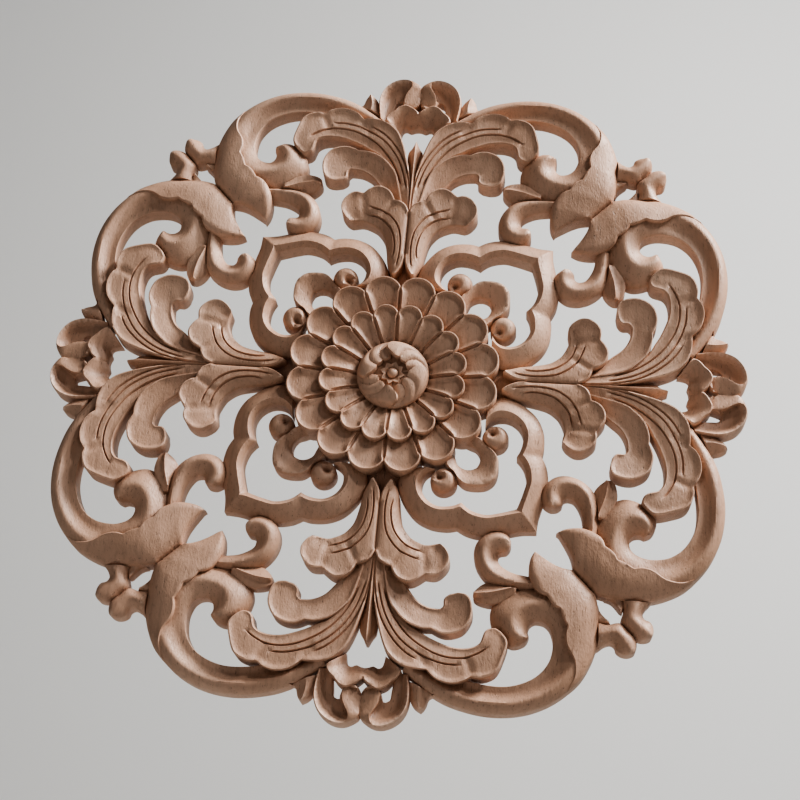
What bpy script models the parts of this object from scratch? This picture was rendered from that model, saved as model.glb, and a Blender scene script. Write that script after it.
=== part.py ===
"""Carved wooden rosette: an openwork appliqué with a flat back, cut as one piece.

The ornament repeats eight times. One wedge of it, between the upright arm and the
diagonal, is drawn as strips, discs and petals in layers, then turned and mirrored.
Plan lengths and heights above the flat back are in millimetres.
"""
import math

import bmesh
import bpy
import numpy as np
from mathutils import Vector
from mathutils.bvhtree import BVHTree
from mathutils.geometry import delaunay_2d_cdt

# Driving dimensions
MILLIMETRE = 0.001
BOSS_RADIUS = 20.2
BOSS_RIM_HEIGHT = 11.4
SWIRL_LEAVES = 4
SWIRL_HEAD = -17.0
HOLLOW_HEIGHT = 13.6
BALL_TOP = 16.3
SWIRL_COLUMNS = 48
PETALS = 16
LONGEST_STEP = 18.0
SHARPEST_BEND = 50.0
SHORTEST_EDGE = 2.2
LOWEST_SURFACE = 5.0
SMALLEST_STEP = 1.2
TRIANGLES = 9900
MARGIN = 0.04

# Along a swirl leaf: share from head to tail, lift over the body, radius of the inner edge
SWIRL_SHARES = (
    (0, -0.4, 11.6), (0.04, 1.5, 11.2), (0.25, 1.1, 9.2),
    (0.5, 0.3, 8.8), (0.75, -0.5, 8.7), (0.96, -1.1, 9.2),
)

# Plan of one wedge: heights of the pit behind the flower and the far end of its rays
PIT_HEIGHT = 5.5
FAR = 260.0

# Colour of the raw timber
WOOD_COLOUR = (0.52, 0.36, 0.24, 1.0)
WOOD_ROUGHNESS = 0.75


def clear_scene():
    for thing in list(bpy.data.objects):
        bpy.data.objects.remove(thing)


def spline(points, places, corners=()):
    """Smooth run through the points, read at places from 0 to n - 1; it bends sharply at corners."""
    points = np.asarray(points, float)
    last = len(points) - 1
    ends = set(corners) | {0, last}
    step = np.diff(points, axis=0)
    leaving = step.copy()
    arriving = step.copy()
    for k in range(1, last):
        if k not in ends:
            leaving[k] = arriving[k - 1] = (points[k + 1] - points[k - 1]) / 2
    for k in range(last):
        if k in ends and k + 1 not in ends:
            leaving[k] = 1.5 * step[k] - 0.5 * arriving[k]
        if k + 1 in ends and k not in ends:
            arriving[k] = 1.5 * step[k] - 0.5 * leaving[k]
    k = np.minimum(np.asarray(places).astype(int), last - 1)
    f = (np.asarray(places) - k)[:, None]
    return (
        points[k] * (2 * f**3 - 3 * f**2 + 1)
        + leaving[k] * (f**3 - 2 * f**2 + f)
        + points[k + 1] * (3 * f**2 - 2 * f**3)
        + arriving[k] * (f**3 - f**2)
    )


def inside(outline, points):
    """Which of the points lie inside the closed outline."""
    x, y = points[:, 0], points[:, 1]
    found = np.zeros(len(points), bool)
    for (ax, ay), (bx, by) in zip(outline, np.roll(outline, -1, axis=0)):
        crossing = (ay > y) != (by > y)
        if crossing.any():
            side = (bx - ax) * (y[crossing] - ay) / (by - ay) + ax
            found[crossing] ^= x[crossing] < side
    return found


def sample_places(edge_a, edge_b, notch_a, notch_b):
    """Places along a strip, closer together where either edge bends."""
    last = len(edge_a) - 1
    fine = np.linspace(0, last, 16 * last + 1)
    effort = np.zeros(len(fine) - 1)
    for edge, notches in ((edge_a, notch_a), (edge_b, notch_b)):
        step = np.diff(spline(edge, fine, notches), axis=0)
        run = np.linalg.norm(step, axis=1)
        heading = np.arctan2(step[:, 1], step[:, 0])
        bend = np.abs((np.diff(heading) + math.pi) % (2 * math.pi) - math.pi)
        at_notch = [16 * k - 1 for k in notches]
        bend[at_notch] = 0
        bend = np.append(bend, 0) * (run > 0.05)
        effort = np.maximum(effort, run / LONGEST_STEP + np.degrees(bend) / SHARPEST_BEND)
    corners = sorted({0, last} | set(notch_a) | set(notch_b))
    places = []
    for start, end in zip(corners, corners[1:]):
        spent = np.concatenate([[0], np.cumsum(effort[16 * start:16 * end])])
        pieces = max(1, round(spent[-1]))
        goals = np.arange(pieces) / pieces * spent[-1]
        places.extend(np.interp(goals, spent, fine[16 * start:16 * end + 1]))
    return np.array(places + [float(last)])


class Strip:
    """A ribbon between two edges; rails across it carry the heights."""

    def __init__(self, layer, stations, rails, notch_a=(), notch_b=()):
        self.layer = layer
        edge_a = [station[0] for station in stations]
        edge_b = [station[1] for station in stations]
        places = sample_places(edge_a, edge_b, notch_a, notch_b)
        a = spline(edge_a, places, notch_a)
        b = spline(edge_b, places, notch_b)
        share = places / places[-1]
        across = np.array([self.along(rail[0], share) for rail in rails]).T
        height = np.array([self.along(rail[1], share) for rail in rails]).T
        plan = a[:, None] + (b - a)[:, None] * across[:, :, None]
        self.grid = np.concatenate([plan, height[:, :, None]], axis=2)
        self.grid = snap_to_seams(self.grid)
        for rail in range(self.grid.shape[1]):
            thin_out(self.grid[:, rail])
        self.build_surface()

    @staticmethod
    def along(values, share):
        values = np.atleast_1d(np.asarray(values, float))
        if len(values) == 1:
            return np.full(len(share), values[0])
        return np.interp(share, np.linspace(0, 1, len(values)), values)

    def build_surface(self):
        grid = self.grid
        wide = [grid[:, 0] - MARGIN * (grid[:, 1] - grid[:, 0])]
        wide += [grid[:, j] for j in range(grid.shape[1])]
        wide += [grid[:, -1] + MARGIN * (grid[:, -1] - grid[:, -2])]
        wide = np.stack(wide, axis=1)
        first = wide[0] - MARGIN * (wide[1] - wide[0])
        final = wide[-1] + MARGIN * (wide[-1] - wide[-2])
        wide = np.concatenate([first[None], wide, final[None]])
        self.tree = grid_tree(grid)
        self.wide_tree = grid_tree(wide)
        self.outline = np.concatenate([
            grid[:, 0, :2], grid[-1, 1:-1, :2], grid[::-1, -1, :2], grid[0, -2:0:-1, :2],
        ])
        self.rails = [grid[:, j, :2] for j in range(1, grid.shape[1] - 1)]

    def height(self, x, y):
        for tree in (self.tree, self.wide_tree):
            hit = tree.ray_cast(Vector((x, y, 100)), Vector((0, 0, -1)))[0]
            if hit:
                return hit.z
        return self.tree.find_nearest(Vector((x, y, 12)))[0].z


class Disc:
    """A round knob; its height follows the profile from the middle out."""

    def __init__(self, layer, centre, radius, profile, sides=8):
        self.layer = layer
        self.centre = centre
        self.profile = profile
        self.outline = self.ring(radius, sides)
        self.rails = [self.ring(radius * share, sides) for share, _ in profile[1:-1]]
        self.rails = [np.concatenate([ring, ring[:1]]) for ring in self.rails]
        self.rails.append(np.array([centre, centre]))
        self.radius = radius

    def ring(self, radius, sides):
        turn = np.arange(sides) * 2 * math.pi / sides
        offset = np.stack([np.cos(turn), np.sin(turn)], axis=1)
        return np.array(self.centre) + radius * offset

    def height(self, x, y):
        share = math.dist((x, y), self.centre) / self.radius
        return float(np.interp(share, *zip(*self.profile)))


class Plate:
    """A level area with a drawn outline."""

    def __init__(self, layer, outline, level):
        self.layer = layer
        self.outline = np.asarray(outline, float)
        self.rails = []
        self.level = level

    def height(self, x, y):
        return self.level


def thin_out(rail):
    """Points of a rail that crowd together are moved onto one another."""
    kept = 0
    for k in range(1, len(rail)):
        if math.dist(rail[k, :2], rail[kept, :2]) < SHORTEST_EDGE:
            rail[k, :2] = rail[kept, :2]
        else:
            kept = k


def grid_tree(grid):
    rows, columns = grid.shape[:2]
    corners = [Vector(point) for point in grid.reshape(-1, 3)]
    faces = []
    for i in range(rows - 1):
        for j in range(columns - 1):
            k = i * columns + j
            faces.append((k, k + 1, k + columns + 1))
            faces.append((k, k + columns + 1, k + columns))
    return BVHTree.FromPolygons(corners, faces)


def snap_to_seams(points, reach=0.06):
    """Points that nearly touch the arm's middle or the diagonal are put on it."""
    points = np.array(points, float)
    x, y = points[..., 0], points[..., 1]
    x[np.abs(x) < reach] = 0
    near = np.abs(x - y) < reach
    middle = (x[near] + y[near]) / 2
    x[near] = middle
    y[near] = middle
    return points


def polar(radius, degrees):
    """Plan point at this angle from the arm, turning towards the diagonal."""
    angle = math.radians(degrees)
    return (radius * math.sin(angle), radius * math.cos(angle))


def petal(layer, middle, start, ball_centre, ball_radius, heights):
    """Spoon-shaped petal: straight sides on its two boundary rays, then a round end."""
    half = 180 / PETALS
    lateral = ball_centre * math.sin(math.radians(half))
    notch = ball_centre * math.cos(math.radians(half)) + math.sqrt(ball_radius**2 - lateral**2)
    stations = []
    for radius in (start, notch):
        stations.append((polar(radius, middle - half), polar(radius, middle + half)))
    widest = math.degrees(math.atan2(notch * math.sin(math.radians(half)),
                                     notch * math.cos(math.radians(half)) - ball_centre))
    for share in (0.62, 0.3):
        turn = math.radians(widest * share)
        forward = ball_centre + ball_radius * math.cos(turn)
        side = ball_radius * math.sin(turn)
        radius = math.hypot(forward, side)
        swing = math.degrees(math.atan2(side, forward))
        stations.append((polar(radius, middle - swing), polar(radius, middle + swing)))
    rim, bowl = heights
    rails = [(0.0, rim), (0.5, bowl), (1.0, rim)]
    return Strip(layer, stations, rails, notch_a=(1,), notch_b=(1,))


def leaves():
    """Veined and plain acanthus leaves that grow out of the flower along the arm."""
    low = Strip(6, [
        ((5, 61), (6.2, 61)), ((0.6, 69), (9.6, 68.8)), ((0, 80), (11, 77.5)), ((0, 93), (13.2, 86.5)),
        ((0, 103), (17, 92)), ((3, 108), (20, 94.2)), ((9, 110.5), (23, 95.6)),
        ((13, 116.6), (24.8, 96.3)), ((20, 118.6), (26.6, 96.6)), ((27.5, 114), (28.4, 96.5)),
        ((34, 113.7), (30, 96.2)), ((38.9, 108.6), (31, 96)), ((39.7, 103), (32, 95.8)),
        ((37, 98.3), (33, 95.7)), ((34.3, 96.2), (34, 95.9)),
    ], [(0, (12, 13, 14, 14, 12.5)), (0.4, (12.8, 13.6, 13.2, 12.8, 12.1)), (1, (8, 8.5, 9, 9.5, 10))],
        notch_a=(4, 6, 9))
    middle = Strip(5, [
        ((6, 116), (13, 113)), ((9.5, 128), (16.6, 117)), ((14, 134.5), (20, 121.7)),
        ((20, 139.8), (24.6, 127)), ((27, 142.3), (30.5, 130.1)), ((33, 142.4), (36.8, 130.8)),
        ((39, 144.8), (38.4, 129.4)), ((44.8, 144.4), (38.5, 127.9)), ((50.2, 141.5), (38.4, 126.4)),
        ((53.7, 135), (38.9, 125.1)), ((53.5, 128), (39.7, 124.2)), ((50.9, 123.3), (40.7, 123.5)),
        ((45.6, 122.1), (41.7, 122.9)),
    ], [(0, (11, 12.5, 13.2, 13.6, 12)), (0.4, (10.1, 11.1, 11.6, 12.3, 11.5)),
        (1, (7.5, 8.5, 9.5, 10.5, 11))],
        notch_a=(5,), notch_b=(5,))
    top = Strip(4, [
        ((0.2, 100), (7, 98)), ((1.6, 125), (10.5, 124)), ((4.6, 140), (15, 134)),
        ((9.6, 153.8), (21, 140.4)), ((15, 160.2), (27.5, 144)), ((22, 163.6), (33, 147)),
        ((32.4, 164.2), (40.2, 149.8)),
        ((38, 168.8), (44.6, 151)), ((45, 170.5), (48.9, 151.4)), ((51, 169.4), (53, 151.1)),
        ((55.8, 166.4), (56.6, 150)), ((62, 166.4), (59.1, 148)), ((68.2, 163), (60, 145.5)),
        ((71.6, 155), (60.8, 142.6)), ((73.2, 147), (62.2, 140.7)), ((70, 142), (64, 139.8)),
        ((66.5, 139.5), (65.5, 139.4)),
    ], [(0, (11, 14, 14.8, 15.4, 11.8)), (0.4, (11.3, 13.2, 13.7, 14.6, 11.5)),
        (1, (9, 10.5, 11.5, 13, 10.8))],
        notch_a=(6, 10))
    spike = Strip(3, [
        ((0, 100), (2.4, 100)), ((0, 130), (4, 130)), ((0, 144), (4.4, 144)), ((0, 148), (2.5, 148)),
        ((0, 152), (0.6, 152)),
    ], [(0, (13, 13, 11)), (1, (8, 8, 8))])
    return {"leaf_low": low, "leaf_middle": middle, "leaf_top": top, "spike": spike}


def scrolls():
    """The large scroll round each corner, its husk, bud and the two tendrils."""
    scroll = Strip(2, [
        ((20, 165), (24, 157)), ((38, 177.2), (42, 163)), ((54, 182.4), (56, 168)),
        ((70, 183.8), (70, 169.4)), ((86, 181), (80.5, 167.4)), ((100.3, 173.6), (89.5, 162.3)),
        ((111.5, 162.2), (95.1, 154.5)),
        ((118, 147.2), (96.6, 145)), ((118, 131), (95, 138.4)), ((110, 118), (92.4, 135.1)),
        ((94, 114), (89.7, 134)), ((78, 116.3), (86.5, 134)), ((67.5, 122.3), (84.3, 135.5)),
        ((63, 131), (83.4, 137.4)), ((66.3, 141.5), (83.2, 139.1)), ((74.5, 147.7), (83.2, 140)),
        ((81.4, 146.1), (83.7, 141.2)), ((84, 141.8), (84, 141.5)),
    ], [(0, (9, 9, 9, 8, 7, 7.5, 8.6)),
        ((0.34, 0.34, 0.34, 0.5, 0.5, 0.5, 0.5), (11.8, 13.2, 13, 14.4, 14, 14.2, 9.8)),
        (1, (8, 9.2, 9.6, 10.4, 9, 8.8, 8.8))])
    husk = Strip(5, [
        ((105.3, 169), (106.2, 168.7)), ((108.2, 161), (112.2, 162)), ((107.5, 153.5), (117, 152.4)),
        ((103.8, 147), (119.6, 143)), ((102.6, 141.5), (119.6, 136)), ((103.4, 136.5), (119.4, 130)),
        ((101, 132.2), (119, 125)), ((99.3, 127.8), (118, 120)), ((95.5, 125.6), (117, 117)),
        ((92.2, 121.1), (113, 113)), ((86.5, 118.2), (109, 109)), ((82.2, 110), (105, 105)),
        ((82.2, 101), (96.8, 103.2)), ((84.6, 95.2), (85.6, 96.6)),
    ], [(0, (10, 13.8, 15.6, 16.2, 15.6, 11, 6.5)), (0.4, (9.4, 13.4, 15.5, 16.2, 15.8, 14, 8.6)),
        (1, (8, 7.6, 8, 9.4, 9.8, 9.4, 6.5))],
        notch_a=(5, 7, 9), notch_b=(8, 11))
    bud = Strip(3, [
        ((76, 120), (76, 113)), ((66, 126.2), (66, 113)), ((59, 126.3), (59.3, 114.6)),
        ((54.2, 124.2), (55.6, 117.3)), ((53.6, 120.4), (53.9, 119.6)),
    ], [(0, (9, 8.5, 8)), ((0.55, 0.5, 0.3, 0.15, 0.2), (12, 12, 10)), (1, (7, 7, 7))])
    tendril = Strip(3.5, [
        ((88, 117), (88, 110)), ((78, 117), (80, 109.2)), ((69, 116.6), (74, 108.2)),
        ((60.5, 113.9), (69, 106)), ((55, 108), (66, 103.6)), ((52.5, 101.5), (65.2, 101.3)),
        ((52.5, 96), (65.2, 100)), ((54.3, 91.6), (65.5, 98.9)), ((58.5, 87.7), (66.3, 98)),
        ((64, 86), (67.6, 97.7)), ((69, 87.4), (69.4, 97.3)), ((71.3, 90.5), (71, 95.6)),
        ((71.7, 92.6), (71.6, 93.6)),
    ], [(0, (8, 8, 8.4, 8.4, 8.4, 8.5, 8)), (0.4, (11, 12, 13, 13, 13.2, 13.4, 11)),
        (1, (7.6, 7.6, 7.6, 7.6, 8.4, 9, 9))])
    outer_tendril = Strip(3, [
        ((112, 150), (114, 130)), ((119.2, 146.2), (118.5, 131)), ((122.7, 143.4), (124, 132.3)),
        ((126, 142.1), (130.4, 131)), ((128.4, 143.4), (134.6, 134.6)), ((129.2, 145.8), (138.6, 138.6)),
        ((131.4, 147.4), (139.6, 142.5)), ((134, 148), (138.8, 146)), ((136, 147.8), (137, 147.4)),
    ], [(0, (7, 7.4, 8, 8.4, 8.6)), (0.5, (10.5, 12, 12.4, 12, 10)), (1, (7, 7.6, 8, 8.4, 8.6))])
    small_bud = Strip(1, [
        ((117, 133), (119, 122)), ((121, 132.6), (120.4, 126)), ((125.6, 131.6), (124.8, 130.2)),
    ], [(0, 7), (0.5, 9), (1, 7)])
    return {
        "scroll": scroll, "husk": husk, "bud": bud, "tendril": tendril,
        "outer_tendril": outer_tendril, "small_bud": small_bud,
    }


def framework():
    """Mitred frame across each diagonal, the inner strap and its volute."""
    frame_band = Strip(3, [
        ((84.8, 84.8), (73.5, 73.5)), ((77, 85.4), (69.4, 74.9)), ((69, 87.3), (63.9, 76.5)),
        ((58, 89.4), (57, 77.8)), ((48.8, 88.4), (49.2, 75.9)), ((42, 85.2), (43.7, 71.7)),
        ((36, 86.3), (38.5, 74)), ((27.5, 85.4), (31.5, 74.6)), ((19.4, 81.5), (25.9, 72.1)),
        ((13.2, 74.6), (22.3, 67.6)), ((9.2, 67), (21.3, 62.5)), ((8.5, 61), (23, 57.2)),
        ((11, 54), (28, 53.5)),
    ], [(0, 7.6), (0.76, 13.6), (1, 10.6)], notch_a=(5,), notch_b=(5,))
    strap = Strip(2, [
        ((59.2, 59.2), (50.3, 50.3)), ((55.7, 61.4), (47, 51.8)), ((50, 62.2), (43.3, 51.5)),
        ((44, 61.3), (39.9, 49.3)), ((39, 57), (38.4, 45.8)), ((33, 50), (36.4, 41)),
    ], [(0, 9.5), (0.15, 11.4), (1, 7.4)])
    volute = Disc(3.2, (33, 59.4), 7.3, ((0, 11.4), (0.6, 12), (1, 7.4)))
    eye = Disc(3.4, (30.2, 58.7), 2.4, ((0, 6), (1, 11)), sides=6)
    return {"frame": frame_band, "strap": strap, "volute": volute, "eye": eye}


def crown():
    """Pair of curled fronds at the end of the arm, with a lobed leaf and a pointed bud."""
    curl = Strip(2.5, [
        ((23.4, 167), (17.2, 165)), ((24.8, 176), (15.8, 171.5)), ((24.4, 183), (15.2, 176)),
        ((21.2, 189.6), (14.8, 179.7)), ((15.2, 194.4), (13, 181)), ((8.6, 195.5), (12, 181.2)),
        ((2.8, 192.5), (11.4, 181.1)), ((0, 189), (11.2, 181)), ((0, 179.5), (11, 180.4)),
        ((1.2, 176), (10.9, 179.8)), ((4.4, 173.6), (10.7, 179.4)), ((9, 174), (10.5, 179)),
    ], [(0, (10.8, 11.8, 11.6, 11.8, 11)), (0.35, (9.2, 8.2, 8.4, 11, 11.4)),
        (1, (8.4, 6.2, 6.2, 9.8, 10.8))])
    leaf = Strip(3, [
        ((19.6, 165), (10.3, 157)), ((18.4, 168.4), (9.8, 160.6)), ((15, 171.5), (8.9, 163)),
        ((12, 174.7), (7, 163.8)), ((8, 176), (5.6, 163.1)), ((4, 174.2), (4.1, 162.7)),
        ((1.8, 172.6), (2.2, 163.5)), ((0, 170.8), (0, 163.9)),
    ], [(0, 12), (0.4, 10.2), (1, 4.6)], notch_a=(2,))
    pointed = Strip(2, [
        ((22, 169), (38, 176)), ((24.3, 177.2), (34.7, 177.4)), ((27, 182.2), (33.3, 181.6)),
        ((31, 184.8), (31.4, 184.6)),
    ], [(0, 7.6), (0.45, (11.4, 10.6)), (1, 7.6)])
    return {"curl": curl, "crown_leaf": leaf, "pointed_bud": pointed}


def flower():
    """Two rings of petals round the boss, which this wedge only borders."""
    parts = {}
    for k in range(2):
        middle = 180 / PETALS * (2 * k + 1)
        parts[f"outer_petal_{k}"] = petal(7, middle, 34, 49, 10.6, ((12.5, 16, 16.7), (11, 13.6, 15.4)))
        parts[f"inner_petal_{k}"] = petal(8, middle, 18, 34.2, 7.3, ((9.2, 16, 17), (9, 14, 16)))
    boss_edge = [(0, 0)]
    boss_edge += [polar(BOSS_RADIUS, 360 / SWIRL_COLUMNS * k) for k in range(SWIRL_COLUMNS // 8 + 1)]
    parts["boss"] = Plate(9, snap_to_seams(boss_edge, 1e-6), BOSS_RIM_HEIGHT)
    parts["pit"] = Plate(0.5, [(0, 50), (9, 50), (9, 68), (4, 72), (0, 76)], PIT_HEIGHT)
    return parts


def wedge_parts():
    parts = {}
    for group in (leaves(), scrolls(), framework(), crown(), flower()):
        parts.update(group)
    return parts


def visible_lines(parts):
    """Outlines and rails of every part, less the stretches that a higher part covers."""
    points = []
    lines = []
    for name, part in parts.items():
        loops = [np.concatenate([part.outline, part.outline[:1]])] + list(part.rails)
        higher = [other.outline for other in parts.values() if other.layer > part.layer]
        for loop in loops:
            middles = (loop[1:] + loop[:-1]) / 2
            covered_end = np.zeros(len(loop), bool)
            covered_middle = np.zeros(len(middles), bool)
            for outline in higher:
                covered_end |= inside(outline, loop)
                covered_middle |= inside(outline, middles)
            hidden = covered_end[1:] & covered_end[:-1] & covered_middle
            for k in np.flatnonzero(~hidden):
                lines.append((len(points), len(points) + 1))
                points.extend([loop[k], loop[k + 1]])
    return points, lines


def triangulate(points, lines):
    """Triangles that keep every line, with the points after welding."""
    result = delaunay_2d_cdt([Vector(point) for point in points], lines, [], 0, 1e-4, False)
    corners = snap_to_seams(np.array([tuple(point) for point in result[0]]), 1e-3)
    return corners, [tuple(face) for face in result[2] if len(set(face)) == 3]


def owners(parts, centres):
    """The highest part at each centre, or an empty name over a gap."""
    names = np.full(len(centres), "", dtype=object)
    for name, part in sorted(parts.items(), key=lambda item: item[1].layer):
        names[inside(part.outline, centres)] = name
    return names


def face_centres(corners, faces):
    return np.array([(corners[a] + corners[b] + corners[c]) / 3 for a, b, c in faces])


def wedge_mesh(parts):
    """Tops, walls and flat back of one wedge, as points and triangles."""
    points, lines = visible_lines(parts)
    for end in ((0.0, FAR), (FAR / 1.5, FAR / 1.5)):
        lines.append((len(points), len(points) + 1))
        points.extend([(0.0, 0.0), end])
    corners, faces = triangulate(points, lines)
    centres = face_centres(corners, faces)
    names = owners(parts, centres)
    kept = (centres[:, 0] > 0) & (centres[:, 0] < centres[:, 1]) & (names != "")
    solid = {face: names[k] for k, face in enumerate(faces) if kept[k]}
    tops = surface_heights(parts, corners, solid)
    mesh = Mesh()
    for face, name in solid.items():
        if name != "boss":
            mesh.triangle([(*corners[v], tops[v][name]) for v in face])
    add_walls(mesh, corners, solid, tops)
    add_back(mesh, parts, corners, solid)
    return mesh


class Mesh:
    """Points and triangles, with points that coincide shared."""

    def __init__(self):
        self.index = {}
        self.points = []
        self.faces = []

    def vertex(self, point):
        key = tuple(round(value, 4) + 0.0 for value in point)
        if key not in self.index:
            self.index[key] = len(self.points)
            self.points.append(key)
        return self.index[key]

    def triangle(self, points):
        face = tuple(self.vertex(point) for point in points)
        if len(set(face)) == 3:
            self.faces.append(face)


def surface_heights(parts, corners, solid):
    """Height of each part at each corner; a part never dips below the one beneath it."""
    around = {}
    for face, name in solid.items():
        for v in face:
            around.setdefault(v, set()).add(name)
    tops = {}
    for v, names in around.items():
        x, y = corners[v]
        below = 0.0
        tops[v] = {}
        for name in sorted(names, key=lambda n: parts[n].layer):
            own = max(parts[name].height(x, y), LOWEST_SURFACE)
            below = below if below and own < below + SMALLEST_STEP else own
            tops[v][name] = round(below, 4)
    return tops


def add_walls(mesh, corners, solid, tops):
    """Upright faces where the height changes between neighbours or falls to the back."""
    sides = {}
    for face, name in solid.items():
        for v, w in zip(face, face[1:] + face[:1]):
            sides[v, w] = name
    open_corners = set()
    borders = []
    for (v, w), name in sides.items():
        other = sides.get((w, v))
        on_seam = corners[v][0] == corners[w][0] == 0
        on_seam |= corners[v][0] == corners[v][1] and corners[w][0] == corners[w][1]
        if other == name or (other is None and on_seam):
            continue
        if other is None:
            open_corners |= {v, w}
        borders.append((v, w, name, other))
    for v, w, name, other in borders:
        low_v = tops[v][other] if other else 0.0
        low_w = tops[w][other] if other else 0.0
        if tops[v][name] + tops[w][name] < low_v + low_w or (other and sides[w, v] != other):
            continue
        column_v = column(tops[v], v in open_corners, low_v, tops[v][name])
        column_w = column(tops[w], w in open_corners, low_w, tops[w][name])
        zip_columns(mesh, corners[v], column_v, corners[w], column_w)


def column(heights, reaches_back, low, high):
    """All heights in use at a corner between low and high."""
    values = set(heights.values())
    if reaches_back:
        values.add(0.0)
    return sorted(value for value in values if min(low, high) <= value <= max(low, high))


def zip_columns(mesh, base_v, column_v, base_w, column_w):
    """Triangles between two upright columns; the solid lies to the left of v to w."""
    i = j = 0
    while i < len(column_v) - 1 or j < len(column_w) - 1:
        low_v = (*base_v, column_v[i])
        low_w = (*base_w, column_w[j])
        climb_v = j == len(column_w) - 1
        if i < len(column_v) - 1 and not climb_v:
            climb_v = column_v[i + 1] <= column_w[j + 1]
        if climb_v:
            i += 1
            mesh.triangle([low_v, low_w, (*base_v, column_v[i])])
        else:
            j += 1
            mesh.triangle([low_v, low_w, (*base_w, column_w[j])])


def add_back(mesh, parts, corners, solid):
    """Flat back, triangulated from the outer borders alone."""
    sides = set()
    for face in solid:
        sides |= set(zip(face, face[1:] + face[:1]))
    rim = [(v, w) for v, w in sides if (w, v) not in sides]
    used = sorted({v for side in rim for v in side})
    place = {v: k for k, v in enumerate(used)}
    on_seam = [corners[v][0] == 0 or corners[v][0] == corners[v][1] for v in range(len(corners))]
    points = [corners[v] for v in used]
    lines = [(place[v], place[w]) for v, w in rim if not (on_seam[v] and on_seam[w])]
    seams = [sorted((v for v in used if corners[v][0] == 0), key=lambda v: corners[v][1]),
             sorted((v for v in used if corners[v][0] == corners[v][1]), key=lambda v: corners[v][1])]
    for seam in seams:
        lines += [(place[v], place[w]) for v, w in zip(seam, seam[1:])]
    flat, faces = triangulate(points, lines)
    centres = face_centres(flat, faces)
    names = owners(parts, centres)
    for k, face in enumerate(faces):
        if 0 < centres[k][0] < centres[k][1] and names[k] != "":
            mesh.triangle([(*flat[v], 0.0) for v in face[::-1]])


def swirl_ring(depth, body):
    """One ring of the swirl leaves; depth runs from the boss's rim to its hollow, body is its mean height."""
    bend = 17 * max(0.0, 1 - 2 * depth) ** 1.6 + 7 * max(0.0, 2 * depth - 1) ** 2
    lift = min(1.0, 5 * depth)
    ring = []
    for leaf in range(SWIRL_LEAVES):
        for share, step, edge in SWIRL_SHARES:
            radius = BOSS_RADIUS + (edge - BOSS_RADIUS) * depth
            turn = SWIRL_HEAD + 360 / SWIRL_LEAVES * (leaf + share) + bend
            ring.append((*polar(radius, turn), body + step * lift))
    return ring


def add_boss(mesh):
    """Top of the boss: overlapping swirl leaves round a hollow with a small ball in it."""
    rings = [boss_rim(mesh)]
    for depth, body in ((0.2, 14.8), (0.45, 16.6), (0.8, 17.6), (1.0, 17.4)):
        rings.append(swirl_ring(depth, body))
    rings.append([(x * 0.92, y * 0.92, HOLLOW_HEIGHT) for x, y, _ in rings[-1]])
    for radius, height in ((3.2, 13.2), (2.5, 15)):
        rings.append([(*polar(radius, 45 * k), height) for k in range(8)])
    for outer, inner in zip(rings, rings[1:]):
        sew_rings(mesh, outer, inner)
    last = rings[-1]
    centre = (0.0, 0.0, BALL_TOP)
    for a, b in zip(last, last[1:] + last[:1]):
        mesh.triangle([a, centre, b])


def boss_rim(mesh):
    """Corners of the open rim round the boss, in turning order."""
    found = []
    for x, y, h in mesh.points:
        distance = math.hypot(x, y)
        nearest = BOSS_RADIUS * math.cos(math.pi / SWIRL_COLUMNS)
        if h == BOSS_RIM_HEIGHT and nearest - 0.01 < distance < BOSS_RADIUS + 0.01:
            found.append((x, y, h))
    return sorted(found, key=bearing)


def bearing(point):
    return math.degrees(math.atan2(point[0], point[1])) % 360


def sew_rings(mesh, outer, inner):
    """Triangles between two rings about the middle, taken in turning order."""
    base = bearing(outer[0])
    offsets = [(bearing(point) - base + 180) % 360 - 180 for point in inner]
    start = min(range(len(inner)), key=lambda k: abs(offsets[k]))
    inner = inner[start:] + inner[:start]
    turn_out = [(bearing(point) - base) % 360 for point in outer] + [360.0]
    turn_in = [offsets[start]] + [(bearing(point) - base) % 360 for point in inner[1:]]
    turn_in.append(turn_in[0] + 360)
    i = j = 0
    while i < len(outer) or j < len(inner):
        a, c = outer[i % len(outer)], inner[j % len(inner)]
        if j == len(inner) or (i < len(outer) and turn_out[i + 1] <= turn_in[j + 1]):
            i += 1
            mesh.triangle([a, c, outer[i % len(outer)]])
        else:
            j += 1
            mesh.triangle([a, c, inner[j % len(inner)]])


def rosette_mesh():
    """Eight wedges, every second one mirrored, closed in the middle by the boss."""
    wedge = wedge_mesh(wedge_parts())
    whole = Mesh()
    for quarter in range(4):
        for mirrored in (False, True):
            for face in wedge.faces:
                points = [wedge.points[v] for v in face]
                if mirrored:
                    points = [(y, x, h) for x, y, h in points[::-1]]
                for _ in range(quarter):
                    points = [(y, -x, h) for x, y, h in points]
                whole.triangle(points)
    add_boss(whole)
    return whole


def wood_material():
    material = bpy.data.materials.new("raw_wood")
    material.use_nodes = True
    shader = material.node_tree.nodes["Principled BSDF"]
    shader.inputs["Base Color"].default_value = WOOD_COLOUR
    shader.inputs["Roughness"].default_value = WOOD_ROUGHNESS
    shader.inputs["Metallic"].default_value = 0.0
    return material


def make_rosette():
    """The carving stands upright with its back on the plane y = 0 and faces -Y."""
    whole = rosette_mesh()
    data = bpy.data.meshes.new("rosette")
    places = [(x * MILLIMETRE, -h * MILLIMETRE, y * MILLIMETRE) for x, y, h in whole.points]
    data.from_pydata(places, [], whole.faces)
    data.update()
    data.materials.append(wood_material())
    rosette = bpy.data.objects.new("rosette", data)
    bpy.context.collection.objects.link(rosette)
    spare = rosette.modifiers.new("spare_faces", "DECIMATE")
    spare.decimate_type = "COLLAPSE"
    spare.ratio = min(1.0, TRIANGLES / len(data.polygons))
    return rosette


clear_scene()
make_rosette()
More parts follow.
